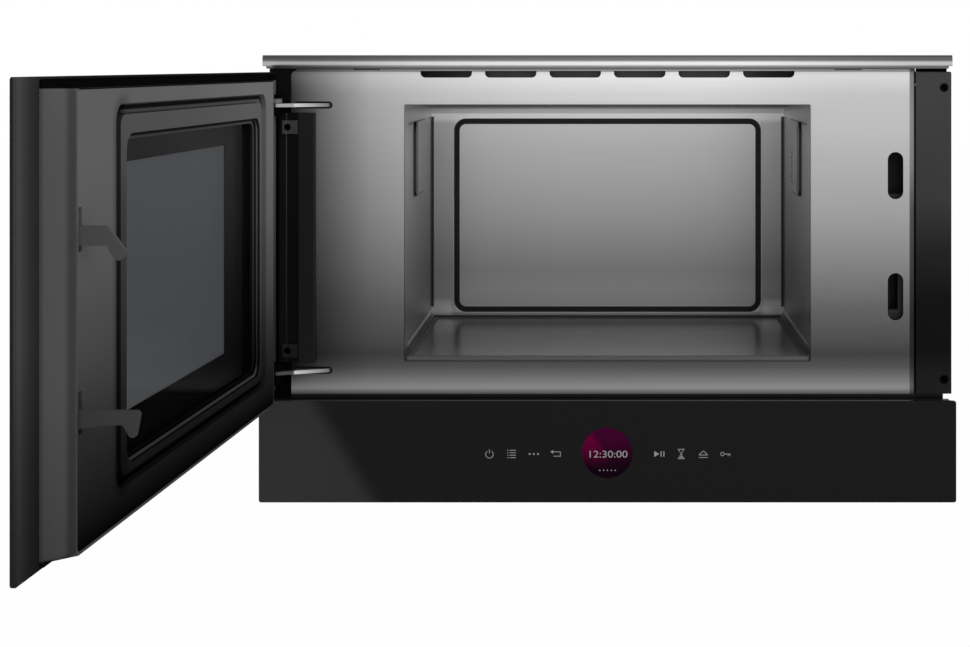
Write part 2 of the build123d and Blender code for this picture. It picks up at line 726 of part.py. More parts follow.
def make_cable_gland():
    gland = rod_y(gland_x, gland_z, gland_radius - 0.2, casing_back - casing_sheet - 4, casing_back + 3)
    gland += rod_y(gland_x, gland_z, gland_radius + 3, casing_back, casing_back + 3)
    inside = casing_back - casing_sheet
    gland += rod_y(gland_x, gland_z, gland_radius + 2, inside - 5, inside)
    gland -= rod_y(gland_x, gland_z, 3.8, casing_back - 20, casing_back + 9)
    return gland


lamp_reach = 36.0


def make_lamp_housing():
    x0 = half_cavity - panel_emboss + cavity_sheet
    y = lamp_y
    shell = block(x0, x0 + lamp_reach, y - 18, y + 18, lamp_z - 22, lamp_z + 22)
    shell -= block(x0 - 1, x0 + lamp_reach - 2, y - 16, y + 16, lamp_z - 20, lamp_z + 20)
    return shell


def make_lamp():
    x0 = half_cavity - panel_emboss + cavity_sheet
    y = lamp_y
    socket = rod_x(y, lamp_z, 9, x0 + lamp_reach - 12, x0 + lamp_reach - 2)
    bulb = rod_x(y, lamp_z, 7, x0 + 8, x0 + lamp_reach - 12)
    bulb = fillet(bulb.edges().group_by(Axis.X)[0], 5)
    return socket + bulb


# ---- control panel -----------------------------------------------------------------------
display_x = 0.0
display_z = panel_lift + 42.3
display_radius = 21.5


def make_control_glass():
    sheet = upright(panel_shape(-half_face, half_face, panel_lift, panel_top, 2.0), face_y, glass_back)
    return chamfer(sheet.edges().group_by(Axis.Y)[0], glass_edge)


def make_panel_carrier():
    """An open-backed tray glued behind the control glass."""
    x1 = half_face - 3
    low, high = panel_lift + 2, panel_top - 2
    tray = block(-x1, x1, glass_back, plate_y, low, high)
    tray -= block(-x1 + 2, x1 - 2, glass_back + 2.5, plate_y + 1, low + 2, high - 2)
    tray -= rod_y(display_x, display_z, display_radius + 1.2, glass_back - 1, glass_back + 4)
    for x in spread(0, 120, 5):
        if abs(x) > 60:
            tray += block(x - 1, x + 1, glass_back + 2.5, plate_y, low + 2, high - 2)
    return tray


def make_display_module():
    return rod_y(display_x, display_z, display_radius + 1.0, glass_back + 0.1, glass_back + 6)


def make_control_board():
    y0 = glass_back + 6.2
    board = block(-57, 57, y0, y0 + 1.6, panel_lift + 8, panel_top - 8)
    board += block(-40, -22, y0 + 1.6, y0 + 8, panel_lift + 12, panel_lift + 34)
    board += block(14, 44, y0 + 1.6, y0 + 6, panel_lift + 14, panel_lift + 26)
    return board


def make_touch_strips():
    y0, y1 = glass_back + 2.5 + 0.1, glass_back + 3.3
    z = display_z
    return [block(-112, -60, y0, y1, z - 12, z + 12), block(60, 112, y0, y1, z - 12, z + 12)]


# ---- interlock -----------------------------------------------------------------------------
lock_depth = 40.0
lock_right = front_right - front_roll - 0.2
pocket_half = 5.0


def make_interlock_housing():
    x0, x1 = latch_x - 11, lock_right
    low, high = lower_latch_z - 32, upper_latch_z + 32
    housing = block(x0, x1, plate_back, plate_back + lock_depth, low, high)
    back = plate_back + lock_depth
    housing -= block(latch_x - pocket_half, x1 - 2, plate_back - 1, back - 3, low + 3, high - 3)
    housing -= block(x0 + 2, latch_x - pocket_half - 2, plate_back - 1, back - 3, low + 24, high - 24)
    for z in (upper_plunger_z, lower_plunger_z):
        housing -= rod_y(latch_x, z, plunger_radius + 0.1, back - 5, back + 1)
    return housing


hook_gap = 1.5              # hook above the lowered catch
catch_front = 9.0           # catches behind the steel front
upper_catch_depth = 6.0
lower_catch_depth = 12.5
catch_height = 9.0


def make_catch_slider():
    """Two catches on a bar, lowered while the door is open, raised behind the hooks to lock it."""
    bar_x0, bar_x1 = latch_x + 5.2, lock_right - 2.3
    y0 = plate_back + catch_front
    high_top = upper_arm_top - upper_hook_drop - hook_gap
    low_top = lower_arm_top - lower_hook_drop - hook_gap
    upper = block(latch_x - 3.2, bar_x1, y0, y0 + upper_catch_depth, high_top - catch_height, high_top)
    lower = block(latch_x - 3.2, bar_x1, y0, y0 + lower_catch_depth, low_top - catch_height, low_top)
    bar = block(bar_x0, bar_x1, y0, y0 + lower_catch_depth, low_top - catch_height, high_top)
    return upper + lower + bar


def make_solenoid():
    x0, x1 = latch_x - 10, lock_right - 1
    top = lower_latch_z - 32 - seat_gap
    y0 = plate_back + 6
    coil = block(x0, x1, y0, y0 + 24, top - 34, top)
    return fillet(coil.edges().filter_by(Axis.Z), 2)


def make_microswitches():
    x0, x1 = latch_x - 6, latch_x + 1
    y0 = plate_back + lock_depth
    cases = []
    for z in (upper_plunger_z, lower_plunger_z):
        case = block(x0, x1, y0, y0 + 16, z - 10, z + 18)
        cases.append(case - rod_y(latch_x, z, plunger_radius + 0.1, y0 - 1, y0 + 5))
    return cases


def make_plunger(z, reach):
    front = plate_y - door_gap + reach + 0.7
    return rod_y(latch_x, z, plunger_radius, front, plate_back + lock_depth + 2.5)


# ---- door --------------------------------------------------------------------------------
inner_left = hinge_x + 68.5
inner_right = half_face - 43.5
inner_bevel = 7.5           # the door's rim leans in by this much
inner_low = door_bottom + 6.0
inner_high = door_top - 5.1
rim_wall = 1.8
backing = 2.0
window_left = -122.5
window_right = 117.5
window_low = door_bottom + 62.7
window_high = door_top - 55.4
mesh_margin = 7.0
mesh_sheet = 0.5
choke_half = 183.0          # middle of the two rows of upstands
choke_low = opening_low - 5.8
choke_high = ceiling + 11.3
recess = (-164.8, 159.5, opening_low + 13.9, ceiling - 11.2)    # left, right, low, high
ring_outside = (-189.0, 183.5, opening_low - 2.1, ceiling + 11.3)
ring_inside = (-174.7, 174.7, opening_low + 5.2, ceiling + 4.7)
ring_radius = 12.0
cover_thickness = 7.0
ledges = 3                  # steps down to the pane
ledge_run = 2.0
seam = 0.4


def make_door_glass():
    sheet = upright(panel_shape(-half_face, half_face, door_bottom, door_top, 2.0), face_y, glass_back)
    faces = sheet.edges().group_by(Axis.Y)
    return opened(chamfer(faces[0] + faces[-1], glass_edge))


def rim_solid(inset, y0, y1):
    """The leaning rim of the door's frame, drawn in by an inset."""
    low = panel_shape(inner_left - inner_bevel + inset, inner_right + inner_bevel - inset,
                      inner_low - 2.5 + inset, inner_high + 2.5 - inset, 5)
    high = panel_shape(inner_left + inset, inner_right - inset, inner_low + inset, inner_high - inset, 4)
    return loft([Plane.XZ.offset(-y0) * low, Plane.XZ.offset(-y1) * high])


def make_door_frame():
    seat = glass_back + backing
    base = upright(panel_shape(hinge_x - 7, inner_right + inner_bevel, door_bottom + 1.5, door_top - 1.5, 2),
                   glass_back, seat)
    margin = mesh_margin + seat_gap
    base -= upright(panel_shape(window_left - margin, window_right + margin, window_low - margin,
                                window_high + margin, 4), glass_back - 1, seat + 1)
    half_block = tongue / 2 + tongue_clearance + leaf_height + 0.2
    for z in (upper_tongue_z, lower_tongue_z):
        base -= block(hinge_x - 8, hinge_x + block_right + 0.2, glass_back - 1, seat + 1, z - half_block,
                      z + half_block)
    rim = rim_solid(0, seat, door_back)
    rim -= rim_solid(rim_wall, seat - 0.01, door_back + 0.01)
    return opened(base + rim)


def make_choke_panel():
    """The steel inner door, with the upstands that form the microwave choke."""
    seat = glass_back + backing
    x0, x1 = inner_left + 1.0, latch_x - latch_width / 2 - 4
    low, high = inner_low + 2.5, inner_high - 2.5
    sheet = upright(panel_shape(x0, x1, low, high, 3), seat, seat + casing_sheet)
    sheet -= upright(panel_shape(window_left, window_right, window_low, window_high, 1.0), seat - 1, seat + 2)
    outer = panel_shape(-choke_half - 5, choke_half + 5, choke_low - 5, choke_high + 4, 9)
    inner = panel_shape(-choke_half + 9, choke_half - 9, choke_low + 9, choke_high - 9, 6)
    top = door_back - cover_thickness - 0.3
    for shape in (outer, inner):
        sheet += upright(shape - offset(shape, -casing_sheet), seat, top)
    return opened(sheet)


def make_mesh_screen():
    seat = glass_back + backing
    shape = panel_shape(window_left - mesh_margin, window_right + mesh_margin, window_low - mesh_margin,
                        window_high + mesh_margin, 4)
    return opened(upright(shape, seat - mesh_sheet, seat))


def make_choke_cover():
    y0, y1 = door_back - cover_thickness, door_back
    edge = rim_wall + seam
    shape = panel_shape(inner_left + edge, inner_right - edge, inner_low + edge, inner_high - edge, 3)
    cover = upright(shape, y0, y1)
    well = panel_shape(*recess, 8)
    for i in range(ledges):
        cover -= upright(offset(well, i * ledge_run), y1 - (ledges - i) * cover_thickness / ledges, y1)
    ring = panel_shape(*ring_outside, ring_radius) - panel_shape(*ring_inside, 8)
    cover -= upright(ring, y1 - cover_thickness / 2, y1)
    for low, top in ((upper_arm_low, upper_arm_top), (lower_arm_low, lower_arm_top)):
        cover -= block(latch_x - latch_width / 2 - 0.8, latch_x + latch_width / 2 + 0.8, y0 - 1, y1 + 1,
                       low - 3.5, top + latch_travel + 2.5)
    return opened(cover)


def make_inner_window():
    y1 = door_back - cover_thickness
    left, right, low, high = recess
    pane = panel_shape(left - 6, right + 6, low - 6, high + 6, 6)
    return opened(upright(pane, y1 - glass, y1))


upper_arm_low = upper_arm_top - 11.2
lower_arm_low = lower_arm_top - 10.6
key_back = 2.5              # bar of the key behind the inner sheet of the door
key_depth = 6.0
key_rise = 6.0              # bar above the upper arm


def make_latch_key():
    """One moulding: an upright bar inside the door with two hooks that reach out of it."""
    x0, x1 = latch_x - latch_width / 2, latch_x + latch_width / 2
    root = glass_back + backing + key_back
    key = block(x0, x1, root, root + key_depth, lower_arm_low - 14, upper_arm_top + key_rise)
    neck, reach, drop = upper_hook_reach - 10.8, upper_hook_reach, upper_hook_drop
    beak = [(neck, -11.2), (neck + 1.7, 4.0 - drop), (reach - 5, -drop), (reach - 3, -drop),
            (reach, 3.0 - drop), (reach, 5.0 - drop), (neck + 2.2, -3.0), (neck, -0.6), (neck - 1.4, 0)]
    neck, reach, drop = lower_hook_reach - 9.8, lower_hook_reach, lower_hook_drop
    tooth = [(0, -10.6), (8, -9.4), (14, -8.4), (neck, -8.2), (neck + 3.4, 1.2 - drop), (neck + 4.4, -drop),
             (reach - 3.2, -drop), (reach - 2.2, 1.0 - drop), (reach, -2.4), (reach - 0.5, -0.8),
             (reach - 2.0, 0)]
    for top, low, outline in ((upper_arm_top, upper_arm_low, beak), (lower_arm_top, lower_arm_low, tooth)):
        points = [(root, low)] + [(door_back + y, top + z) for y, z in outline] + [(root, top)]
        with BuildSketch() as side:
            with BuildLine():
                Polyline(*points, points[0])
            make_face()
        key += sideways(side.sketch, x0, x1)
    return opened(key)


spring_radius = 2.4
spring_length = 22.0


def make_latch_spring():
    y = glass_back + backing + key_back + key_depth / 2
    top = upper_arm_top + key_rise
    spring = rod_z(latch_x, y, spring_radius, top, top + spring_length)
    spring -= rod_z(latch_x, y, spring_radius - 0.8, top - 1, top + spring_length + 1)
    return opened(spring)


def make_spring_seat():
    y = glass_back + backing
    top = upper_arm_top + key_rise + spring_length
    seat = block(latch_x - 3.5, latch_x + 3.5, y, y + 9, top, top + 3)
    return opened(seat)


# ---- build and write ---------------------------------------------------------------------
nodes = {
    "base_plate": make_base_plate(),
    "left_side_panel": make_side_panel(-1),
    "right_side_panel": make_side_panel(1),
    "top_cover": make_top_cover(),
    "rear_panel": make_rear_panel(),
    "front_frame": make_front_frame(),
    "lower_crossmember": make_crossmember(),
    "top_rail": make_top_rail(),
    "left_column": make_left_column(),
    "right_column": make_right_column(),
    "hinge_cover": make_hinge_cover(),
    "cavity_left_wall": make_cavity_side(-1),
    "cavity_right_wall": make_cavity_side(1),
    "cavity_back_wall": make_cavity_back(),
    "cavity_ceiling": make_cavity_ceiling(),
    "cavity_floor_pan": make_floor_pan(),
    "left_floor_rail": make_floor_rail(-1),
    "right_floor_rail": make_floor_rail(1),
    "ceramic_floor": make_ceramic_floor(),
    "floor_seal": make_floor_seal(),
    "waveguide": make_waveguide(),
    "magnetron": make_magnetron(),
    "stirrer": make_stirrer(),
    "stirrer_motor": make_stirrer_motor(),
    "fan_housing": make_fan_housing(),
    "fan_impeller": make_fan_impeller(),
    "air_duct": make_air_duct(),
    "inverter": make_inverter(),
    "filter_board": make_filter_board(),
    "cable_gland": make_cable_gland(),
    "lamp_housing": make_lamp_housing(),
    "cavity_lamp": make_lamp(),
    "control_glass": make_control_glass(),
    "panel_carrier": make_panel_carrier(),
    "display_module": make_display_module(),
    "control_board": make_control_board(),
    "touch_strips": make_touch_strips(),
    "interlock_housing": make_interlock_housing(),
    "catch_slider": make_catch_slider(),
    "catch_solenoid": make_solenoid(),
    "microswitches": make_microswitches(),
    "upper_switch_plunger": make_plunger(upper_plunger_z, upper_hook_reach),
    "lower_switch_plunger": make_plunger(lower_plunger_z, lower_hook_reach),
    "door_glass": make_door_glass(),
    "door_frame": make_door_frame(),
    "choke_panel": make_choke_panel(),
    "mesh_screen": make_mesh_screen(),
    "choke_cover": make_choke_cover(),
    "inner_window": make_inner_window(),
    "latch_key": make_latch_key(),
    "latch_spring": make_latch_spring(),
    "latch_spring_seat": make_spring_seat(),
}
for end, height in (("upper", upper_tongue_z), ("lower", lower_tongue_z)):
    nodes[f"{end}_hinge_bracket"] = make_hinge_bracket(height)
    nodes[f"{end}_hinge_pin"] = make_hinge_pin(height)
    nodes[f"{end}_hinge_block"] = make_hinge_block(height)

os.makedirs("parts", exist_ok=True)
for name, shape in nodes.items():
    solid = Compound(children=shape) if isinstance(shape, list) else shape
    export_step(solid, f"parts/{name}.step")
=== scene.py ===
"""Dresses a built-in microwave oven with a side-hinged door: finishes, control symbols, screws and a studio."""
import json
import math

import bpy
from mathutils import Matrix, Vector


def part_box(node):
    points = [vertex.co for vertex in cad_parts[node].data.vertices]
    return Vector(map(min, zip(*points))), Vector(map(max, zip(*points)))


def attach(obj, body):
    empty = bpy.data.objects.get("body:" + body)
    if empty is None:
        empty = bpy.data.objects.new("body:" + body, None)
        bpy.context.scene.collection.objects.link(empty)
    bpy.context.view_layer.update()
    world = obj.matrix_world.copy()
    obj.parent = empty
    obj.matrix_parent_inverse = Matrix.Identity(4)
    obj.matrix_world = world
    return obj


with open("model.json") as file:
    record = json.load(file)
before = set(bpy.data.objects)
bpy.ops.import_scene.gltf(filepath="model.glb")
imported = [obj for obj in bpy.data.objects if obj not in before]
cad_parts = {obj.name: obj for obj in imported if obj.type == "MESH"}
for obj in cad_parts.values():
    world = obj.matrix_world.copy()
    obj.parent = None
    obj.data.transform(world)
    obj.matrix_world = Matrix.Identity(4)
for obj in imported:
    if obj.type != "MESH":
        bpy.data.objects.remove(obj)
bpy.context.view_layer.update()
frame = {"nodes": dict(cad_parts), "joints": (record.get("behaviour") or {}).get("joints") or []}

bl_info = {
    "name": "Built-in microwave oven",
    "version": (1, 0, 0),
    "blender": (4, 5, 0),
    "location": "View3D > Sidebar > Oven",
    "description": "Finishes, control symbols, screws and studio for a built-in microwave oven",
    "category": "Object",
}

MM = 0.001
nodes = frame["nodes"]
glass_low, glass_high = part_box("control_glass")
casing_low, casing_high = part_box("rear_panel")
front_low, front_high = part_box("front_frame")
floor_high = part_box("ceramic_floor")[1]
column_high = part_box("right_column")[1]
dial_low, dial_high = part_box("display_module")
dial_z = (dial_low.z + dial_high.z) / 2
swing = next(joint for joint in frame["joints"] if joint["name"] == "door_swing")
hinge = Vector(swing["pos_m"])
open_turn = math.radians(swing["range_deg"][1])
plate_y = front_low.y               # face of the steel front
DOOR_GAP = 0.7 * MM                 # from the closed door to the steel front
door_back = plate_y - DOOR_GAP
half_opening = 176.0 * MM           # of the cavity
opening_low = floor_high.z - 3.2 * MM
opening_high = floor_high.z + 217.7 * MM
right_hole_x = column_high.x - 6.3 * MM
left_hole_x = hinge.x + 8.1 * MM
RIGHT_HOLES = (0.356, 0.104)        # heights of the holes for the cabinet screws
LEFT_HOLES = (0.322, 0.1297)
# The dark discs behind the screw holes are painted shade.
DISC_RADIUS = 3.9 * MM              # of the dark disc behind each of these holes
DISC_DEPTH = 1.2 * MM
DISC_SINK = 3.7 * MM                # from the face of the steel front to the disc's middle
GROOVE_CORNER = 12 * MM             # corner radius of the back wall's and the door's grooves
FINE_RELIEF = 0.00004               # depths of bump, in metres
GRAIN_RELIEF = 0.00005
CLOUD_RELIEF = 0.0002
PHOTO_WIDTH, PHOTO_HEIGHT = 970, 647


# ---- colours ----
def linear(value):
    """One screen level of 0 to 255 as linear light."""
    share = value / 255
    return share / 12.92 if share <= 0.04045 else ((share + 0.055) / 1.055) ** 2.4


def grey(level):
    return (linear(level),) * 3


def colour(red, green, blue):
    return (linear(red), linear(green), linear(blue))


def greys(*stops):
    """Stops of a shade, each given as a place in metres and a grey level."""
    return [(place, grey(level)) for place, level in stops]


# ---- shader maths ----
class Reading:
    """A shader output that takes Python arithmetic."""

    def __init__(self, graph, socket):
        self.graph = graph
        self.socket = socket

    def maths(self, operation, *values):
        return self.graph.node("ShaderNodeMath", {"operation": operation}, dict(enumerate(values)))

    def __add__(self, other):
        return self.maths("ADD", self, other)

    def __mul__(self, other):
        return self.maths("MULTIPLY", self, other)

    def __sub__(self, other):
        return self.maths("SUBTRACT", self, other)

    def __rsub__(self, other):
        return self.maths("SUBTRACT", other, self)

    def __truediv__(self, other):
        return self.maths("DIVIDE", self, other)

    __radd__ = __add__
    __rmul__ = __mul__

    def size(self):
        return self.maths("ABSOLUTE", self)

    def larger(self, other):
        return self.maths("MAXIMUM", self, other)

    def clamped(self):
        return self.graph.node("ShaderNodeClamp", {}, {"Value": self})

    def power(self, exponent):
        return self.maths("POWER", self, exponent)


class Graph:
    """The node graph of one finish."""

    def __init__(self, name, closed=False):
        """Patterns of the door are laid out on the closed door, which a Mapping node turns to the open one."""
        self.material = bpy.data.materials.new(name)
        self.material.use_nodes = True
        self.tree = self.material.node_tree
        self.tree.nodes.clear()
        self.coordinates = self.node("ShaderNodeTexCoord", output="Object")
        if closed:
            shift = hinge - Matrix.Rotation(open_turn, 3, "Z") @ hinge
            self.coordinates = self.node("ShaderNodeMapping", {}, {
                "Vector": self.coordinates, "Location": shift, "Rotation": (0, 0, open_turn)})

    def node(self, kind, settings=None, sockets=None, output=0):
        """Adds a node: its settings first, then the values or links of its sockets."""
        made = self.tree.nodes.new(kind)
        for key, value in (settings or {}).items():
            if key == "stops":
                ramp = made.color_ramp
                ramp.elements.remove(ramp.elements[1])
                ramp.elements[0].position, ramp.elements[0].color = value[0][0], (*value[0][1], 1)
                for place, shade in value[1:]:
                    ramp.elements.new(place).color = (*shade, 1)
            else:
                setattr(made, key, value)
        for key, value in (sockets or {}).items():
            if isinstance(value, Reading):
                self.tree.links.new(value.socket, made.inputs[key])
            else:
                made.inputs[key].default_value = value
        return Reading(self, made.outputs[output])

    def along(self, axis):
        """The place along X, Y or Z, in metres."""
        return self.node("ShaderNodeSeparateXYZ", {}, {0: self.coordinates}, "XYZ".index(axis))

    def shade(self, place, stops):
        """A colour that changes along a place; stops are metres with a colour."""
        low, high = stops[0][0], stops[-1][0]
        share = ((place - low) / (high - low)).clamped()
        scaled = [((where - low) / (high - low), tone) for where, tone in stops]
        return self.node("ShaderNodeValToRGB", {"stops": scaled}, {0: share})

    def step(self, place, start, end):
        """0 before start, 1 after end, smooth between."""
        return self.node("ShaderNodeMapRange", {"interpolation_type": "SMOOTHSTEP"},
                         {"Value": place, "From Min": start, "From Max": end})

    def scale(self, place, stops):
        """A number that changes along a place; stops are metres with a share of light."""
        return self.node("ShaderNodeSeparateColor", {}, {
            0: self.shade(place, [(where, (share,) * 3) for where, share in stops])})

    def band(self, place, low, high, soft=0.15 * MM):
        """1 between two places, 0 outside, with soft edges."""
        return self.step(place, low - soft, low + soft) * (1.0 - self.step(place, high - soft, high + soft))

    def outside(self, across, up, half_width, low, high, radius=0.0):
        """How far a point lies outside a rounded rectangle, in metres; negative inside it."""
        x = across.size() - (half_width - radius)
        z = (up - (low + high) / 2).size() - ((high - low) / 2 - radius)
        corner = (x.larger(0.0) * x.larger(0.0) + z.larger(0.0) * z.larger(0.0)).power(0.5)
        inner = self.node("ShaderNodeMath", {"operation": "MINIMUM"}, {0: x.larger(z), 1: 0.0})
        return corner + inner - radius

    def noise(self, scale, detail=3.0, stretch=(1, 1, 1)):
        place = self.node("ShaderNodeMapping", {}, {"Vector": self.coordinates, "Scale": stretch})
        return self.node("ShaderNodeTexNoise", {}, {"Vector": place, "Scale": scale, "Detail": detail})

    def tinted(self, tone, amount):
        """A colour times a number."""
        return self.node("ShaderNodeMix", {"data_type": "RGBA", "blend_type": "MULTIPLY"},
                         {0: 1.0, 6: tone, 7: amount}, 2)

    def mixed(self, mask, first, second):
        first, second = (tone if isinstance(tone, Reading) else (*tone, 1) for tone in (first, second))
        return self.node("ShaderNodeMix", {"data_type": "RGBA"}, {0: mask, 6: first, 7: second}, 2)

    def bump(self, height, strength, distance):
        return self.node("ShaderNodeBump", {}, {"Strength": strength, "Distance": distance, "Height": height})

    def finish(self, base, **sockets):
        """Closes the graph with a Principled shader; socket names are written with underscores."""
        base = base if isinstance(base, Reading) else (*base, 1)
        named = {key.replace("_", " "): value for key, value in sockets.items()}
        shader = self.node("ShaderNodeBsdfPrincipled", {}, {"Base Color": base, **named})
        self.node_output(shader)
        return self.material

    def node_output(self, shader):
        out = self.tree.nodes.new("ShaderNodeOutputMaterial")
        self.tree.links.new(shader.socket, out.inputs["Surface"])


def dress(material, *names):
    for name in names:
        mesh = nodes[name].data
        mesh.materials.clear()
        mesh.materials.append(material)


# ---- finishes ----
def brushed(graph, tone, stretch, strength=0.10):
    """Fine straight grain on a metal: its tint and its bump."""
    grain = graph.noise(1.0, 4.0, stretch)
    cloud = graph.noise(9.0, 2.0)
    tint = graph.tinted(tone, 1.0 + (grain - 0.5) * strength * 2 + (cloud - 0.5) * 0.06)
    return tint, graph.bump(grain, 0.12, FINE_RELIEF), grain


def steel_front_finish():
    """Brushed stainless steel with its grain from side to side.

    Its colour carries painted light: the tone up its height is a painted reflection, a painted reflection of the
    open door darkens the hinge end, painted shade darkens the bent right edge, a thin line round the opening and
    dashes under the rail, and a painted highlight lightens it above its middle.
    """
    graph = Graph("brushed_steel_front")
    across, height, depth = graph.along("X"), graph.along("Z"), graph.along("Y")
    # The tone up the height is a painted reflection, with a painted shadow line just under the rail.
    tone = graph.shade(height, greys((0.0915, 118), (0.0966, 150), (0.102, 126), (0.108, 104), (0.115, 80),
                                     (0.126, 62), (0.138, 76), (0.165, 96), (0.25, 158), (0.32, 184),
                                     (0.350, 188), (0.366, 208), (0.3698, 196), (0.3703, 78), (0.3708, 100),
                                     (0.3717, 168), (0.3724, 160)))
    # Painted reflection of the open door: darker towards the hinge end.
    door_reflection = graph.scale(across, [(-0.275, 0.15), (-0.262, 0.34), (-0.248, 0.50), (-0.2266, 0.74),
                                     (-0.205, 0.97), (-0.1835, 1.0), (-0.16, 1.0)])
    share = 1.0 - (1.0 - door_reflection) * graph.step(height, 0.085, 0.125)
    # Painted shade at the bent right edge.
    bend_shade = graph.step(across, front_high.x - 5.8 * MM, front_high.x - 5.0 * MM)
    share = share * (1.0 - bend_shade * graph.scale(height, [(0.1, 0.60), (0.15, 0.84), (0.20, 0.80), (0.25, 0.78),
                                                       (0.29, 0.54), (0.34, 0.56), (0.37, 0.72)]))
    # Painted highlight above the middle.
    glare = (1.0 - graph.step(across.size(), 0.06, 0.22)) * graph.step(height, 0.335, 0.348)
    share = share * (1.0 + glare * 0.22)
    # Painted shade in a thin line round the opening.
    edge = graph.outside(across, height, half_opening - 1.0 * MM, opening_low, opening_high, 1.0 * MM)
    share = share * (1.0 - graph.band(edge, -2.0 * MM, 0.6 * MM, 0.3 * MM) * 0.75)
    # Painted shadow in dashes just under the rail.
    shadow_dash = graph.band(across.size(), 0.1964, 0.2194) * graph.step(height, 0.3711, 0.3714)
    share = share * (1.0 - shadow_dash * 0.9)
    tone, bump, grain = brushed(graph, graph.tinted(tone, share), (14, 14, 2600))
    inside = graph.step(depth, plate_y + 1.2 * MM, plate_y + 3.0 * MM)
    return graph.finish(tone, Metallic=0.85 - inside * 0.2, Roughness=0.27 + grain * 0.10, Normal=bump)


def rail_finish():
    """Brushed stainless steel; its tone paints a highlight on the rounded nose and shade on the lower lip, and
    painted shade darkens it towards each end.
    """
    graph = Graph("brushed_rail")
    height = graph.along("Z")
    # The tone paints a highlight on the nose and shade on the lower lip.
    tone = graph.shade(height, greys((0.3724, 122), (0.3732, 122), (0.3740, 142), (0.3748, 208), (0.3757, 232),
                                     (0.3779, 228), (0.37885, 164), (0.3797, 120), (0.3807, 112), (0.3815, 90),
                                     (0.3824, 82), (0.3833, 90)))
    # Painted shade towards each end.
    end_shade = 1.0 - graph.step(graph.along("X").size(), 0.10, 0.31) * 0.40
    tone, bump, grain = brushed(graph, graph.tinted(tone, end_shade), (10, 2400, 2400), 0.12)
    return graph.finish(tone, Metallic=0.8, Roughness=0.28 + grain * 0.12, Normal=bump)


def cavity_finish(name, stops, stretch, share=None):
    """Brushed steel of the cavity; its stops paint shade that changes with height, and share(graph) paints the shade
    of its pressed lines and some highlights.
    """
    graph = Graph(name)
    tone = graph.shade(graph.along("Z"), stops)
    if share:
        tone = graph.tinted(tone, share(graph))
    tone, bump, grain = brushed(graph, tone, stretch, 0.07)
    return graph.finish(tone, Metallic=0.7, Roughness=0.30 + grain * 0.10, Normal=bump)


def back_wall_share(graph):
    """Painted shade in the groove, the corner lines and the foot line and over a duller border; painted highlights
    along the groove's lower lip, near the foot and at the top.
    """
    across, height = graph.along("X"), graph.along("Z")
    groove_half, groove_low, groove_high = 153.3 * MM, floor_high.z + 5.3 * MM, floor_high.z + 198.6 * MM
    outline = graph.outside(across, height, groove_half, groove_low, groove_high, GROOVE_CORNER)
    # Painted shade in the groove, the corner lines and along the foot.
    groove = graph.band(outline, -5.6 * MM, 0.0, 0.1 * MM)
    border = graph.outside(across, height, 150.0 * MM, floor_high.z + 8.0 * MM, floor_high.z + 196.0 * MM)
    corner = graph.band(across.size(), half_opening - 2.6 * MM, half_opening) * graph.band(
        height, 133.9 * MM, 323.7 * MM)
    foot = 1.0 - graph.step(height, floor_high.z + 1.2 * MM, floor_high.z + 3.0 * MM)
    # Painted shade over the border outside the groove.
    border_shade = 1.0 - graph.step(border, 0.0, 4.0 * MM) * (1.0 - graph.step(height, 0.316, 0.322)) * 0.20
    # Painted highlights: glow and edges near the foot, lip along the groove's lower edge, and a band at the top.
    glow = graph.band(height, 0.1285, 0.1345, 1.2 * MM) * (1.0 - graph.step(across.size(), 0.150, 0.172))
    lip = graph.band(outline, 0.1 * MM, 1.1 * MM) * (1.0 - graph.step(height, 0.20, 0.26))
    edges = graph.step(across.size(), 0.152, 0.158)
    light = border_shade * (1.0 + lip * 0.35 + glow * 0.5 + graph.step(height, 0.316, 0.324) * 0.22
                    + graph.band(height, 0.124, 0.140, 4 * MM) * edges * 0.7)
    return light * (1.0 - (groove * 0.985).larger(corner * 0.93).larger(foot * 0.9))


def side_wall_share(graph):
    """Painted shade on the front step and painted shadow lines at the hooks of the panel pressed into the wall; the
    lower wall is painted lighter, and the panel is a little lighter.
    """
    across, height, depth = graph.along("X").size(), graph.along("Z"), graph.along("Y")
    # Painted shade on the forward-facing step and painted shadow lines at the hooks.
    front_step_shade = graph.band(height, 256.0 * MM, 323.4 * MM) * graph.band(depth, -66 * MM, -44 * MM, 2 * MM)
    low_hook_shadow = graph.band(height, 254.4 * MM, 257.0 * MM, 0.4 * MM) * graph.band(depth, -62 * MM, 4 * MM, 10 * MM)
    high_hook_shade = graph.band(height, 321.9 * MM, 324.2 * MM, 0.4 * MM) * graph.band(depth, -112 * MM, -50 * MM, 8 * MM)
    corner_hook_shade = graph.band(height, 322.4 * MM, 323.6 * MM) * graph.band(depth, 66 * MM, 104 * MM, 3 * MM)
    panel = 1.0 - graph.step(across, half_opening - 1.9 * MM, half_opening - 1.2 * MM)
    # Painted light: lift makes the lower wall lighter.
    lift = graph.scale(height, [(0.12, 1.26), (0.22, 1.24), (0.30, 1.10), (0.34, 1.0)])
    dark = front_step_shade.larger(low_hook_shadow * 0.9).larger(high_hook_shade * 0.8).larger(corner_hook_shade * 0.85)
    return lift * (1.0 - dark * 0.93) * (1.0 + panel * 0.04)


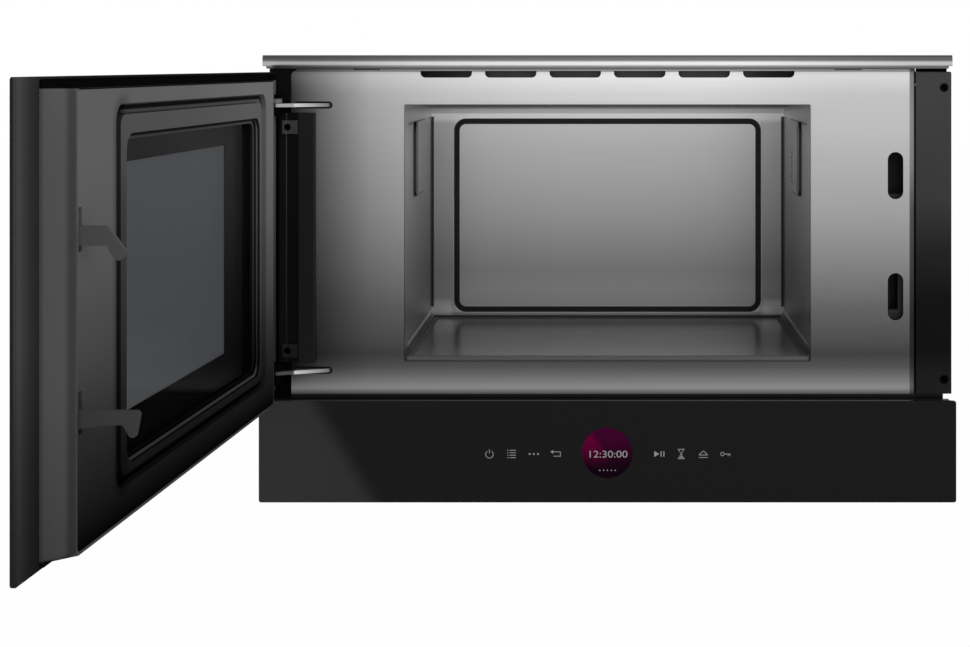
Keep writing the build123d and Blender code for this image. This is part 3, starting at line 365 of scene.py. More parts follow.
def floor_rail_finish():
    """Sloping steel rail with painted highlights on its upper line and its inner line, and painted shade towards the
    front and the back.
    """
    graph = Graph("floor_rail_steel")
    across, depth = graph.along("X").size(), graph.along("Y")
    # The tone paints highlights on the rail's upper and inner lines.
    tone = graph.shade(across, greys((0.1672, 84), (0.1680, 130), (0.1686, 84), (0.1728, 80), (0.1733, 130),
                                     (0.1738, 60), (0.1742, 38), (0.1746, 60), (0.1752, 92), (0.1756, 205),
                                     (0.176, 190)))
    # Painted shade towards the front and the back.
    near = 1.0 - graph.step(depth, -0.124, -0.112)
    tone = graph.tinted(tone, graph.scale(depth, [(-0.147, 0.75), (0.03, 1.0), (0.104, 0.7)]) * (1.0 - near * 0.6))
    tone, bump, grain = brushed(graph, tone, (16, 16, 2200), 0.07)
    return graph.finish(tone, Metallic=0.6, Roughness=0.30 + grain * 0.10, Normal=bump)


def casing_finish():
    """Zinc-plated sheet with faint spangle; the strip behind the vents is in the dark."""
    graph = Graph("galvanised_sheet")
    spangle = graph.node("ShaderNodeTexVoronoi", {"feature": "F1"},
                         {"Vector": graph.coordinates, "Scale": 90.0}, "Color")
    patch = graph.node("ShaderNodeSeparateColor", {}, {0: spangle})
    haze = graph.noise(14.0)
    shadow = (1.0 - graph.step(graph.along("Y"), plate_y + 11.5 * MM, plate_y + 13.0 * MM)) * graph.step(
        graph.along("Z"), casing_high.z - 2.0 * MM, casing_high.z)
    middle = 1.0 - graph.step(graph.along("X").size(), 0.10, 0.15)
    tone = graph.tinted((*grey(178), 1), (0.86 + patch * 0.16 + haze * 0.12) * (
        1.0 - shadow * (0.975 - middle * 0.11)))
    return graph.finish(tone, Metallic=0.8, Roughness=0.34 + patch * 0.14 + haze * 0.1,
                        Normal=graph.bump(haze, 0.05, CLOUD_RELIEF))


def ceramic_finish():
    """Smooth grey glass-ceramic; its tone is a painted reflection, lighter at the front and in the middle and darker
    towards the back.
    """
    graph = Graph("glass_ceramic")
    cloud = graph.noise(30.0)
    depth = graph.along("Y")
    # Painted reflection: lighter at the front, darker towards the back.
    tone = graph.shade(depth, greys((-0.147, 124), (-0.13, 116), (-0.08, 92), (-0.03, 62), (0.02, 50),
                                    (0.10, 38)))
    # Painted light in the middle.
    middle = 1.0 - graph.step(graph.along("X").size(), 0.04, 0.16)
    tone = graph.tinted(tone, (0.90 + middle * 0.16) * (0.96 + cloud * 0.08))
    return graph.finish(tone, Roughness=0.21 + cloud * 0.04, Metallic=0.35, Specular_IOR_Level=0.5)


def moulded_finish(name, stops, roughness=0.42, specular=0.25, share=None, closed=False, grain=0.10):
    """Moulded plastic with a fine pebble grain; share(graph) changes its light over the piece."""
    graph = Graph(name, closed)
    pebble = graph.noise(2400.0, 2.0)
    cloud = graph.noise(16.0)
    light = 0.94 + cloud * 0.12
    tone = graph.tinted(graph.shade(graph.along("Z"), stops), light * share(graph) if share else light)
    return graph.finish(tone, Roughness=roughness + cloud * 0.08, Specular_IOR_Level=specular,
                        Normal=graph.bump(pebble, grain, FINE_RELIEF))


def hinge_cover_share(graph):
    """Painted highlights on the pads round the fixing holes, the ridge, the outer wing and the inner strip, stronger
    higher up; the channel stays black.
    """
    across, height, depth = graph.along("X"), graph.along("Z"), graph.along("Y")
    # Painted highlights on the strip, pads, ridge and wing; they grow stronger higher up.
    strip = graph.step(across, hinge.x + 16.5 * MM, hinge.x + 17.5 * MM)
    pad = graph.band(depth, plate_y - 7.2 * MM, plate_y - 4.4 * MM, 0.1 * MM) * (
        1.0 - graph.step(across, hinge.x + 17.3 * MM, hinge.x + 17.6 * MM))
    ridge = graph.band(across, hinge.x + 6.6 * MM, hinge.x + 7.5 * MM) * (
        1.0 - graph.step(depth, plate_y - 3.9 * MM, plate_y - 3.7 * MM))
    wing = 1.0 - graph.step(across, hinge.x + 7.0 * MM, hinge.x + 7.6 * MM)
    return (1.0 + strip * 2.8 + wing * 0.8 + ridge * graph.scale(height, [(0.14, 4.0), (0.32, 16.0)])
            + pad * graph.scale(height, [(0.12, 3.0), (0.2, 6.0), (0.33, 16.0)]))


def right_column_share(graph):
    """Dark shadow round each fixing hole."""
    across, height = graph.along("X") - right_hole_x, graph.along("Z")
    shadow = 0.0
    for z in reversed(RIGHT_HOLES):
        up = height - z
        away = (across * across + up * up).power(0.5)
        shadow = (1.0 - graph.step(away, 3.2 * MM, 4.8 * MM)) + shadow
    return 1.18 - shadow * 0.95


def door_rim_share(graph):
    """Painted shade on the rim: at its top face, at its foot, low down near the hinge and in a line at the corner by
    the cover; it is a little lighter at the free edge.
    """
    across, height = graph.along("X"), graph.along("Z")
    # Painted shade low down near the hinge, on the top face, at the foot and in the corner line.
    near_hinge = 1.0 - graph.step(across, hinge.x + 60 * MM, hinge.x + 110 * MM)
    low = 1.0 - graph.step(height, 0.16, 0.30)
    top = graph.step(height, 0.3622, 0.3630)
    free = graph.step(across, 0.262, 0.268)
    corner = graph.band(across, 0.2532, 0.2556, 0.9 * MM)
    foot = 1.0 - graph.step(height, 0.0955, 0.0975)
    light = (1.0 - near_hinge * low * 0.55) * (1.0 - top * 0.97) * (1.0 - foot * 0.9)
    return light * (1.34 + free * 0.16) * (1.0 - corner * 0.45)


def door_plastic_finish():
    """Satin plastic of the door's inner cover, with painted shade that darkens it downwards and towards its free
    edge, painted shade in its groove, risers and lower window corner, and painted light on its ledges and at the
    hinge foot.
    """
    graph = Graph("door_cover_plastic", closed=True)
    across, height, depth = graph.along("X"), graph.along("Z"), graph.along("Y")
    pebble = graph.noise(2600.0, 2.0)
    cloud = graph.noise(9.0)
    # The tone paints shade that darkens the cover downwards; light paints it darker towards the free edge.
    tone = graph.shade(height, greys((0.10, 5), (0.117, 21), (0.14, 32), (0.163, 43), (0.208, 66), (0.231, 72),
                                     (0.254, 80), (0.30, 86), (0.322, 88), (0.365, 88)))
    light = graph.scale(across, [(-0.26, 0.86), (-0.21, 1.0), (-0.137, 1.0), (-0.06, 0.88), (0.03, 0.74),
                                 (0.117, 0.70), (0.18, 0.68), (0.26, 0.68)]) * (1.9 + (cloud - 0.5) * 0.14)
    ring_shift, ring_half, island_half = 2.75 * MM, 186.25 * MM, 174.7 * MM
    ring = graph.outside(across + ring_shift, height, ring_half, opening_low - 2.1 * MM,
                         opening_high + 11.3 * MM, GROOVE_CORNER)
    island = graph.outside(across, height, island_half, opening_low + 5.2 * MM, opening_high + 4.7 * MM, 8 * MM)
    groove = graph.step(island, -0.1 * MM, 0.1 * MM) * (1.0 - graph.step(ring, -0.1 * MM, 0.1 * MM))
    # Painted shade in the groove.
    groove_shadow = groove * graph.band(ring, -3.9 * MM, -1.0 * MM, 0.4 * MM) + groove * (
        1.0 - graph.step(island, 0.5 * MM, 0.9 * MM)) * 0.6
    inner = 1.0 - graph.step(island, -0.1 * MM, 0.1 * MM)
    sink = door_back - depth
    # Painted light and shade on the ledges and risers of the stepped recess.
    first = inner * graph.band(sink, 2.0 * MM, 2.7 * MM, 0.1 * MM)
    second = inner * graph.band(sink, 4.3 * MM, 5.0 * MM, 0.1 * MM)
    riser_shade = inner * (graph.band(sink, 0.3 * MM, 2.0 * MM, 0.1 * MM) + graph.band(sink, 2.7 * MM, 4.3 * MM, 0.1 * MM)
                     + graph.step(sink, 5.0 * MM, 5.2 * MM))
    top_side, hinge_side = graph.step(height, 0.325, 0.330), 1.0 - graph.step(across, -0.166, -0.160)
    low_side = 1.0 - graph.step(height, 0.133, 0.139)
    first_light = 0.60 + hinge_side * 0.3 - top_side * 0.45 + low_side * 3.2
    second_light = 0.25 + top_side * 0.55 + hinge_side * 0.2
    light = light * (1.0 - inner * 0.30) * (1.0 - groove * (0.40 + graph.step(across, 0.15, 0.17) * 0.50)) * (
        1.0 - groove_shadow * 0.88)
    light = light * (1.0 - first * (1.0 - first_light)) * (1.0 - second * (1.0 - second_light)) * (
        1.0 - riser_shade.clamped() * 0.88)
    # Painted shade near the ring and low inside the window on the free side.
    ring_shade = (1.0 - graph.step(ring, 0.5 * MM, 9.0 * MM)) * graph.step(ring, -0.1 * MM, 0.1 * MM)
    free_side = graph.step(across, 0.150, 0.170)
    low_inner_shade = inner * free_side * (1.0 - graph.step(height, 0.27, 0.345))
    light = light * (1.0 - ring_shade * free_side * 0.36) * (1.0 - low_inner_shade * 0.40)
    # Painted highlight at the hinge foot and painted shade on the top face.
    hinge_foot_light = (1.0 - graph.step(across, -0.262, -0.225)) * (1.0 - graph.step(height, 0.100, 0.145))
    top = graph.step(height, 0.3615, 0.3622)
    tone = graph.tinted(tone, light * (1.0 + hinge_foot_light * 5.0) * (1.0 - top * 0.97))
    return graph.finish(tone, Roughness=0.50 + cloud * 0.08, Specular_IOR_Level=0.0,
                        Normal=graph.bump(pebble, 0.10, FINE_RELIEF))


def black_glass_finish():
    """Glass printed black at its back, with a faint painted sheen near the left end of the panel."""
    graph = Graph("black_glass")
    smear = graph.noise(7.0, 4.0)
    # Painted sheen: a slanting lighter patch at the left end, made blotchy by the noise.
    slant = graph.along("X") - (glass_high.z - graph.along("Z")) * 0.60
    sheen = 1.0 - graph.step(slant, -0.263, -0.239)
    tone = graph.mixed(sheen * (0.75 + smear * 0.4), grey(13), grey(50))
    return graph.finish(tone, Roughness=0.05 + smear * 0.05, Specular_IOR_Level=0.10)


def door_glass_finish():
    """Black outside; the printed border at the back is dark grey, with a painted highlight that lightens it at the
    free edge and painted shade that darkens it downwards.
    """
    graph = Graph("door_glass_print", closed=True)
    smear = graph.noise(7.0, 4.0)
    height = graph.along("Z")
    # The print's tone carries a painted highlight towards the free edge.
    border = graph.shade(graph.along("X"), greys((-0.3, 30), (0.20, 34), (0.262, 44), (0.266, 47), (0.275, 52),
                                                 (0.284, 63), (0.2927, 75), (0.2965, 62)))
    # Painted shade: the border darkens downwards.
    border = graph.tinted(border, graph.scale(height, [(0.09, 0.40), (0.16, 0.62), (0.22, 0.92), (0.37, 1.0)])
                          * (0.9 + smear * 0.2))
    behind = graph.step(graph.along("Y"), glass_high.y - 1.6 * MM, glass_high.y - 0.8 * MM)
    return graph.finish(graph.mixed(behind, grey(13), border), Roughness=0.06 + smear * 0.06,
                        Specular_IOR_Level=0.0, Coat_Weight=(1.0 - behind) * 0.3)


def window_finish():
    """Clear inner pane with a light smoke."""
    graph = Graph("smoked_pane")
    smear = graph.noise(6.0, 4.0)
    return graph.finish(grey(20), Roughness=0.04 + smear * 0.05, Specular_IOR_Level=0.15, Alpha=0.15)


def mesh_finish():
    """Perforated steel screen: small round holes in a grid."""
    graph = Graph("perforated_screen")
    tone = graph.shade(graph.along("Z"), [(0.15, colour(112, 114, 118)), (0.24, colour(102, 104, 108)),
                                          (0.32, colour(102, 104, 108))])
    cells = graph.node("ShaderNodeTexVoronoi", {"feature": "F1"},
                       {"Vector": graph.coordinates, "Scale": 520.0, "Randomness": 0.0}, "Distance")
    holes = graph.step(cells, 0.20, 0.34)
    cloud = graph.noise(11.0)
    tone = graph.tinted(tone, 0.90 + holes * 0.12 + (cloud - 0.5) * 0.08)
    return graph.finish(tone, Metallic=0.2, Roughness=0.5, Specular_IOR_Level=0.2)


def hinge_finish():
    """Bright hinge tongue in front of the steel front, with painted shade on its part behind the front, at its root
    and at its end, and a painted highlight that fades along it.
    """
    graph = Graph("hinge_tongue_steel")
    across, depth = graph.along("X"), graph.along("Y")
    grain = graph.noise(900.0, 3.0)
    # Painted shade behind the steel front, at the root and at the end; sweep paints a highlight that fades along the
    # tongue.
    behind = graph.step(depth, plate_y - 0.6 * MM, plate_y + 0.2 * MM)
    root = 1.0 - graph.step(across, hinge.x + 14.0 * MM, hinge.x + 16.0 * MM)
    end = graph.step(across, hinge.x + 42.0 * MM, hinge.x + 44.5 * MM)
    upper = graph.step(graph.along("Z"), 0.2, 0.3)
    light = (1.0 - behind * 0.99) * (1.0 - root * (0.90 - upper * 0.5)) * (1.0 - end * 0.80)
    sweep = graph.scale(across, [(hinge.x + 16 * MM, 1.0), (hinge.x + 30 * MM, 0.62), (hinge.x + 44 * MM, 0.25)])
    tone = graph.tinted((*grey(205), 1), light * sweep * (0.92 + grain * 0.16))
    return graph.finish(tone, Metallic=0.75, Roughness=0.26 + grain * 0.1,
                        Normal=graph.bump(grain, 0.08, GRAIN_RELIEF))


def plain_metal_finish(name, level, roughness, grain_scale=900.0):
    graph = Graph(name)
    grain = graph.noise(grain_scale, 3.0)
    cloud = graph.noise(20.0)
    tone = graph.tinted((*grey(level), 1), 0.92 + grain * 0.08 + cloud * 0.08)
    return graph.finish(tone, Metallic=0.9, Roughness=roughness + cloud * 0.1,
                        Normal=graph.bump(grain, 0.08, GRAIN_RELIEF))


def soft_finish(name, tone, roughness):
    """Silicone, lacquered boards and lamp glass: one tone with soft clouding."""
    graph = Graph(name)
    cloud = graph.noise(24.0)
    return graph.finish(graph.tinted((*tone, 1), 0.9 + cloud * 0.2), Roughness=roughness + cloud * 0.1,
                        Normal=graph.bump(cloud, 0.05, CLOUD_RELIEF))


def glow_finish(settings):
    """The lit round display: plum, with a red sweep and a dark foot."""
    graph = Graph("display_glow")
    across = graph.along("X") / settings.dial_radius
    up = (graph.along("Z") - dial_z) / settings.dial_radius
    sweep = graph.step((across * 0.8 + up * 0.5 + 0.55).power(2.0), 0.35, 0.0)
    lift = graph.step(up, -0.75, 0.75)
    swirl = graph.noise(70.0, 2.0)
    plum = graph.mixed(lift, tuple(settings.glow_low), tuple(settings.glow_high))
    tone = graph.mixed(sweep * lift * (0.5 + swirl * 0.6), plum, tuple(settings.glow_sweep))
    return graph.finish((0.0, 0.0, 0.0), Emission_Color=tone, Emission_Strength=1.0, Roughness=0.1,
                        Specular_IOR_Level=0.0)


def ink_finish():
    """Light grey print and digits, which glow with the same faint emission."""
    graph = Graph("symbol_print")
    cloud = graph.noise(400.0)
    tone = graph.tinted((*grey(140), 1), 0.9 + cloud * 0.2)
    return graph.finish(grey(40), Emission_Color=tone, Emission_Strength=0.9, Roughness=0.5,
                        Specular_IOR_Level=0.1)


# ---- settings ----
class PanelSettings(bpy.types.PropertyGroup):
    stroke: bpy.props.FloatProperty(
        name="Stroke", description="Width of a symbol's lines", default=0.55 * MM, unit="LENGTH")
    ink: bpy.props.FloatProperty(
        name="Ink", description="Thickness of the print", default=0.06 * MM, unit="LENGTH")
    pitch: bpy.props.FloatProperty(
        name="Pitch", description="From one symbol to the next", default=18.9 * MM, unit="LENGTH")
    first: bpy.props.FloatProperty(
        name="First", description="From the dial's centre to the nearest symbol", default=43.8 * MM, unit="LENGTH")
    drop: bpy.props.FloatProperty(
        name="Drop", description="Symbols below the dial's centre", default=0.9 * MM, unit="LENGTH")
    dial_radius: bpy.props.FloatProperty(
        name="Dial radius", description="Radius of the lit display", default=21.5 * MM, unit="LENGTH")
    digit_size: bpy.props.FloatProperty(
        name="Digit size", description="Size of the clock's digits", default=8.4 * MM, unit="LENGTH")
    digits: bpy.props.StringProperty(
        name="Digits", description="What the clock shows", default="12:30:00")
    glow_high: bpy.props.FloatVectorProperty(
        name="Glow", description="Upper glow of the display", subtype="COLOR", default=colour(56, 5, 38))
    glow_low: bpy.props.FloatVectorProperty(
        name="Low glow", description="Lower glow of the display", subtype="COLOR", default=colour(17, 6, 16))
    glow_sweep: bpy.props.FloatVectorProperty(
        name="Sweep", description="Red sweep across the display", subtype="COLOR", default=colour(98, 4, 48))


class ScrewSettings(bpy.types.PropertyGroup):
    head_radius: bpy.props.FloatProperty(
        name="Head radius", description="Radius of a casing screw's head", default=3.6 * MM, unit="LENGTH")
    head_height: bpy.props.FloatProperty(
        name="Head height", description="Height of a screw's head", default=1.9 * MM, unit="LENGTH")
    edge: bpy.props.FloatProperty(
        name="Edge", description="Screws' distance from the edge of a panel", default=7.0 * MM, unit="LENGTH")


class StudioSettings(bpy.types.PropertyGroup):
    distance: bpy.props.FloatProperty(
        name="Distance", description="Camera in front of the control glass", default=1.580, unit="LENGTH")
    height: bpy.props.FloatProperty(
        name="Height", description="Camera above the floor", default=0.3768, unit="LENGTH")
    focal_pixels: bpy.props.FloatProperty(
        name="Focal length", description="In pixels of the photograph", default=1856.0)
    centre_x: bpy.props.FloatProperty(
        name="Centre across", description="Optical centre, pixels from the left", default=607.5)
    centre_y: bpy.props.FloatProperty(
        name="Centre down", description="Optical centre, pixels from the top", default=63.5)
    sky: bpy.props.FloatProperty(
        name="Sky", description="Strength of the even light", default=0.62)
    key: bpy.props.FloatProperty(
        name="Key", description="Power of the large front lamp", default=26.0, unit="POWER")
    fill: bpy.props.FloatProperty(
        name="Fill", description="Power of the side lamp", default=10.0, unit="POWER")


# ---- modelling helpers ----
def select_only(piece):
    bpy.ops.object.select_all(action="DESELECT")
    piece.select_set(True)
    bpy.context.view_layer.objects.active = piece


def applied():
    """The active piece, with its turn and scale in its mesh."""
    piece = bpy.context.object
    select_only(piece)
    bpy.ops.object.transform_apply(location=False, rotation=True, scale=True)
    return piece


def fresh(add, **settings):
    """Adds a primitive while nothing else is selected, with its turn and scale in its mesh."""
    bpy.ops.object.select_all(action="DESELECT")
    add(**settings)
    return applied()


def rounded(piece, width, segments=2):
    select_only(piece)
    bpy.ops.object.mode_set(mode="EDIT")
    bpy.ops.mesh.select_all(action="SELECT")
    bpy.ops.mesh.bevel(offset=width, segments=segments, affect="EDGES")
    bpy.ops.object.mode_set(mode="OBJECT")
    return piece


def joined(pieces, name):
    bpy.ops.object.select_all(action="DESELECT")
    for piece in pieces:
        piece.select_set(True)
    bpy.context.view_layer.objects.active = pieces[0]
    if len(pieces) > 1:
        bpy.ops.object.join()
    piece = bpy.context.object
    piece.name = piece.data.name = name
    return piece


def seated(piece, body, material):
    """Puts the place in the mesh, gives the finish and rides the body."""
    select_only(piece)
    bpy.ops.object.transform_apply(location=True, rotation=True, scale=True)
    piece.data.materials.clear()
    piece.data.materials.append(material)
    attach(piece, body)
    return piece


# ---- control symbols ----
class Pen:
    """Draws strokes of a symbol round a centre on the face of the control glass, in metres."""

    def __init__(self, settings, x, z):
        self.stroke, self.ink = settings.stroke, settings.ink
        self.x, self.z = x, z
        self.strokes = []

    def place(self, x, z):
        return (self.x + x, glass_low.y - self.ink / 4, self.z + z)

    def bar(self, x, z, width, height=None, turn=0.0):
        height = height or self.stroke
        piece = fresh(bpy.ops.mesh.primitive_cube_add, size=1, location=self.place(x, z), rotation=(0, turn, 0),
                      scale=(width, self.ink, height))
        self.strokes.append(rounded(piece, self.ink * 0.35, 1))

    def dot(self, x, z, radius):
        piece = fresh(bpy.ops.mesh.primitive_cylinder_add, vertices=20, radius=radius, depth=self.ink,
                      location=self.place(x, z), rotation=(math.pi / 2, 0, 0))
        self.strokes.append(rounded(piece, self.ink * 0.3, 1))

    def ring(self, x, z, radius, gap=0.0):
        """A ring, open at its top by the gap's angle."""
        piece = fresh(bpy.ops.mesh.primitive_torus_add, major_radius=radius, minor_radius=self.stroke / 2,
                      major_segments=40, minor_segments=8, location=self.place(x, z),
                      rotation=(math.pi / 2, 0, 0))
        bpy.ops.object.mode_set(mode="EDIT")
        bpy.ops.mesh.select_mode(type="VERT")
        bpy.ops.mesh.select_all(action="DESELECT")
        bpy.ops.object.mode_set(mode="OBJECT")
        for vertex in piece.data.vertices:
            vertex.co.y *= self.ink / self.stroke
            vertex.select = abs(math.atan2(vertex.co.x, vertex.co.z)) < gap / 2
        if gap:
            bpy.ops.object.mode_set(mode="EDIT")
            bpy.ops.mesh.delete(type="VERT")
            bpy.ops.mesh.select_all(action="SELECT")
            bpy.ops.mesh.fill_holes(sides=0)
            bpy.ops.object.mode_set(mode="OBJECT")
        self.strokes.append(piece)

    def triangle(self, x, z, radius, turn):
        """A filled triangle that points along its turn; 0 points up."""
        piece = fresh(bpy.ops.mesh.primitive_cylinder_add, vertices=3, radius=radius, depth=self.ink,
                      location=self.place(x, z), rotation=(math.pi / 2, turn, 0))
        self.strokes.append(rounded(piece, self.ink * 0.3, 1))


def draw_power(pen):
    pen.ring(0, -0.3 * MM, 3.2 * MM, gap=1.1)
    pen.bar(0, 2.2 * MM, pen.stroke, 3.6 * MM)


def draw_list(pen):
    for row in (-3.15, -1.05, 1.05, 3.15):
        pen.bar(0.9 * MM, row * MM, 5.4 * MM)
        pen.dot(-3.3 * MM, row * MM, pen.stroke * 0.8)


def draw_more(pen):
    for column in (-3.6, 0, 3.6):
        pen.dot(column * MM, 0, 0.8 * MM)


def draw_back(pen):
    pen.bar(0.6 * MM, 1.8 * MM, 6.4 * MM)
    pen.triangle(-3.2 * MM, 1.8 * MM, 1.7 * MM, -math.pi / 2)
    pen.bar(3.7 * MM, 0, pen.stroke, 4.1 * MM)
    pen.bar(0.9 * MM, -1.9 * MM, 6.1 * MM)


def draw_play(pen):
    pen.triangle(-2.6 * MM, 0, 2.9 * MM, math.pi / 2)
    for side in (-1, 1):
        pen.bar((3.0 + 1.2 * side) * MM, 0, 0.9 * MM, 4.6 * MM)


def draw_timer(pen):
    for side in (-1, 1):
        pen.bar(0, 4.0 * side * MM, 5.8 * MM)
        for slope in (-1, 1):
            pen.bar(1.25 * slope * MM, 2.0 * side * MM, pen.stroke * 0.8, 4.7 * MM, slope * side * 0.56)
    pen.triangle(0, -2.6 * MM, 1.3 * MM, 0)


def draw_open(pen):
    for slope in (-1, 1):
        pen.bar(1.8 * slope * MM, 1.0 * MM, pen.stroke, 4.9 * MM, -slope * 0.85)
    pen.bar(0, -0.9 * MM, 7.2 * MM)
    pen.bar(0, -3.0 * MM, 7.6 * MM)


def draw_key(pen):
    pen.ring(-2.6 * MM, 0, 1.5 * MM)
    pen.bar(1.4 * MM, 0, 5.0 * MM)
    for tooth in (2.2, 3.7):
        pen.bar(tooth * MM, -0.9 * MM, pen.stroke, 1.6 * MM)


SYMBOLS = (("power", -4, draw_power), ("list", -3, draw_list), ("more", -2, draw_more), ("back", -1, draw_back),
           ("play", 1, draw_play), ("timer", 2, draw_timer), ("open", 3, draw_open), ("key", 4, draw_key))


# ---- operators ----
class OVEN_OT_finish_casing(bpy.types.Operator):
    """Gives the casing, rail, steel front and trims their finishes"""
    bl_idname = "oven.finish_casing"
    bl_label = "Finish the casing"

    def execute(self, context):
        dress(casing_finish(), "base_plate", "left_side_panel", "right_side_panel", "top_cover", "rear_panel",
              "lamp_housing")
        dress(steel_front_finish(), "front_frame")
        dress(rail_finish(), "top_rail")
        # The column's stops paint its shade: darker low down, with a painted shadow on its top under the rail.
        dress(moulded_finish("column_plastic", greys((0.088, 12), (0.0925, 36), (0.105, 32), (0.13, 19),
                                                     (0.1726, 21), (0.2158, 36), (0.259, 56), (0.30, 60),
                                                     (0.3696, 66), (0.3700, 4)),
                             specular=0.0, share=right_column_share),
              "right_column")
        shadow = greys((0.08, 9), (0.23, 13), (0.37, 20))
        dress(moulded_finish("hinge_side_plastic", shadow, specular=0.0), "left_column")
        # The crossmember's lighter top is painted light on its top face.
        dress(moulded_finish("crossmember_black", greys((0.0, 20), (0.0885, 22), (0.0905, 38)),
                             specular=0.0), "lower_crossmember")
        dress(moulded_finish("hinge_cover_plastic", greys((0.12, 9), (0.33, 11)), specular=0.08,
                             share=hinge_cover_share), "hinge_cover")
        dress(moulded_finish("inner_plastic", greys((0.0, 30), (0.4, 38))), "fan_housing", "fan_impeller",
              "air_duct", "cable_gland", "interlock_housing", "microswitches", "upper_switch_plunger",
              "lower_switch_plunger", "catch_slider")
        dress(plain_metal_finish("plain_aluminium", 190, 0.32), "waveguide", "magnetron", "stirrer")
        dress(plain_metal_finish("zinc_steel", 178, 0.30), "stirrer_motor", "catch_solenoid")
        dress(soft_finish("lacquered_board", colour(24, 84, 46), 0.35), "inverter", "filter_board",
              "control_board")
        return {"FINISHED"}


class OVEN_OT_finish_cavity(bpy.types.Operator):
    """Gives the cavity's walls, floor and seal their finishes"""
    bl_idname = "oven.finish_cavity"
    bl_label = "Finish the cavity"

    def execute(self, context):
        # The stops paint the walls' shade: darker lower down.
        back = greys((0.122, 100), (0.128, 150), (0.1366, 152), (0.1506, 152), (0.1706, 139), (0.19, 147),
                     (0.21, 157), (0.23, 168), (0.25, 179), (0.27, 192), (0.29, 206), (0.31, 224), (0.335, 240))
        side = greys((0.120, 128), (0.16, 120), (0.20, 135), (0.24, 152), (0.34, 200))
        dress(cavity_finish("cavity_back_steel", back, (16, 16, 2200), back_wall_share), "cavity_back_wall")
        dress(cavity_finish("cavity_side_steel", side, (16, 16, 2200), side_wall_share), "cavity_left_wall",
              "cavity_right_wall")
        dress(floor_rail_finish(), "left_floor_rail", "right_floor_rail")
        # The stops paint shade: darker on the floor pan and on the ceiling's rear fillet.
        top = greys((0.10, 120), (0.32, 196), (0.3395, 190), (0.342, 150))
        dress(cavity_finish("cavity_top_steel", top, (1400, 20, 20)), "cavity_ceiling", "cavity_floor_pan")
        dress(ceramic_finish(), "ceramic_floor")
        dress(soft_finish("grey_silicone", grey(74), 0.5), "floor_seal")
        dress(soft_finish("lamp_glass", grey(236), 0.3), "cavity_lamp")
        return {"FINISHED"}


class OVEN_OT_finish_door(bpy.types.Operator):
    """Gives the door, its latch and its hinges their finishes"""
    bl_idname = "oven.finish_door"
    bl_label = "Finish the door"

    def execute(self, context):
        dress(black_glass_finish(), "control_glass")
        dress(door_glass_finish(), "door_glass")
        dress(door_plastic_finish(), "choke_cover")
        # The rim's, the choke paint's and the latch's stops paint shade that darkens them downwards.
        dress(moulded_finish("door_rim_plastic", greys((0.09, 60), (0.20, 74), (0.36, 77)),
                             specular=0.0, share=door_rim_share, closed=True), "door_frame")
        dress(moulded_finish("choke_paint", greys((0.10, 4), (0.22, 16), (0.34, 42)),
                             specular=0.0, grain=0.0), "choke_panel")
        dress(moulded_finish("latch_plastic", greys((0.15, 62), (0.20, 68), (0.30, 82)),
                             specular=0.0), "latch_key", "latch_spring_seat")
        dress(mesh_finish(), "mesh_screen")
        dress(window_finish(), "inner_window")
        dress(moulded_finish("panel_tray_plastic", greys((0.0, 14), (0.1, 20))), "panel_carrier",
              "touch_strips")
        dress(hinge_finish(), "upper_hinge_bracket", "lower_hinge_bracket")
        dress(plain_metal_finish("hinge_pin_steel", 60, 0.3), "upper_hinge_pin", "lower_hinge_pin",
              "latch_spring")
        dress(moulded_finish("hinge_block_black", greys((0.10, 8), (0.3415, 9), (0.3419, 120), (0.3467, 120),
                                                        (0.3471, 9)),
                             specular=0.0),
              "upper_hinge_block", "lower_hinge_block")
        return {"FINISHED"}


class OVEN_OT_add_display(bpy.types.Operator):
    """Adds the lit round display with its clock digits and dots"""
    bl_idname = "oven.add_display"
    bl_label = "Add the display"

    def execute(self, context):
        settings = context.scene.oven_panel
        glow, ink = glow_finish(settings), context.scene.oven_ink
        dress(glow, "display_module")
        lens = fresh(bpy.ops.mesh.primitive_cylinder_add, vertices=128, radius=settings.dial_radius,
                     depth=settings.ink, location=(0, glass_low.y, dial_z), rotation=(math.pi / 2, 0, 0))
        rounded(lens, settings.ink * 0.3, 1)
        lens.name = lens.data.name = "display_lens"
        seated(lens, "oven", glow)
        bpy.ops.object.select_all(action="DESELECT")
        bpy.ops.object.text_add(location=(0, glass_low.y - settings.ink, dial_z - 1.4 * MM),
                                rotation=(math.pi / 2, 0, 0))
        text = bpy.context.object
        text.data.body = settings.digits
        text.data.size = settings.digit_size
        text.scale.x = 1.2
        text.data.extrude = settings.ink / 2
        text.data.align_x, text.data.align_y = "CENTER", "CENTER"
        bpy.ops.object.convert(target="MESH")
        digits = joined([bpy.context.object], "display_digits")
        seated(digits, "oven", ink)
        pen = Pen(settings, 0, dial_z - 14.8 * MM)
        for column in range(-2, 3):
            pen.dot(column * 3.3 * MM, 0, 0.55 * MM)
        dots = joined(pen.strokes, "display_dots")
        dots.location.y -= settings.ink / 2
        seated(dots, "oven", ink)
        return {"FINISHED"}


class OVEN_OT_add_symbols(bpy.types.Operator):
    """Adds the touch symbols beside the display"""
    bl_idname = "oven.add_symbols"
    bl_label = "Add the symbols"

    def execute(self, context):
        settings = context.scene.oven_panel
        for name, order, draw in SYMBOLS:
            side = 1 if order > 0 else -1
            x = side * (settings.first + (abs(order) - 1) * settings.pitch)
            pen = Pen(settings, x, dial_z - settings.drop)
            draw(pen)
            seated(joined(pen.strokes, f"{name}_symbol"), "oven", context.scene.oven_ink)
        return {"FINISHED"}


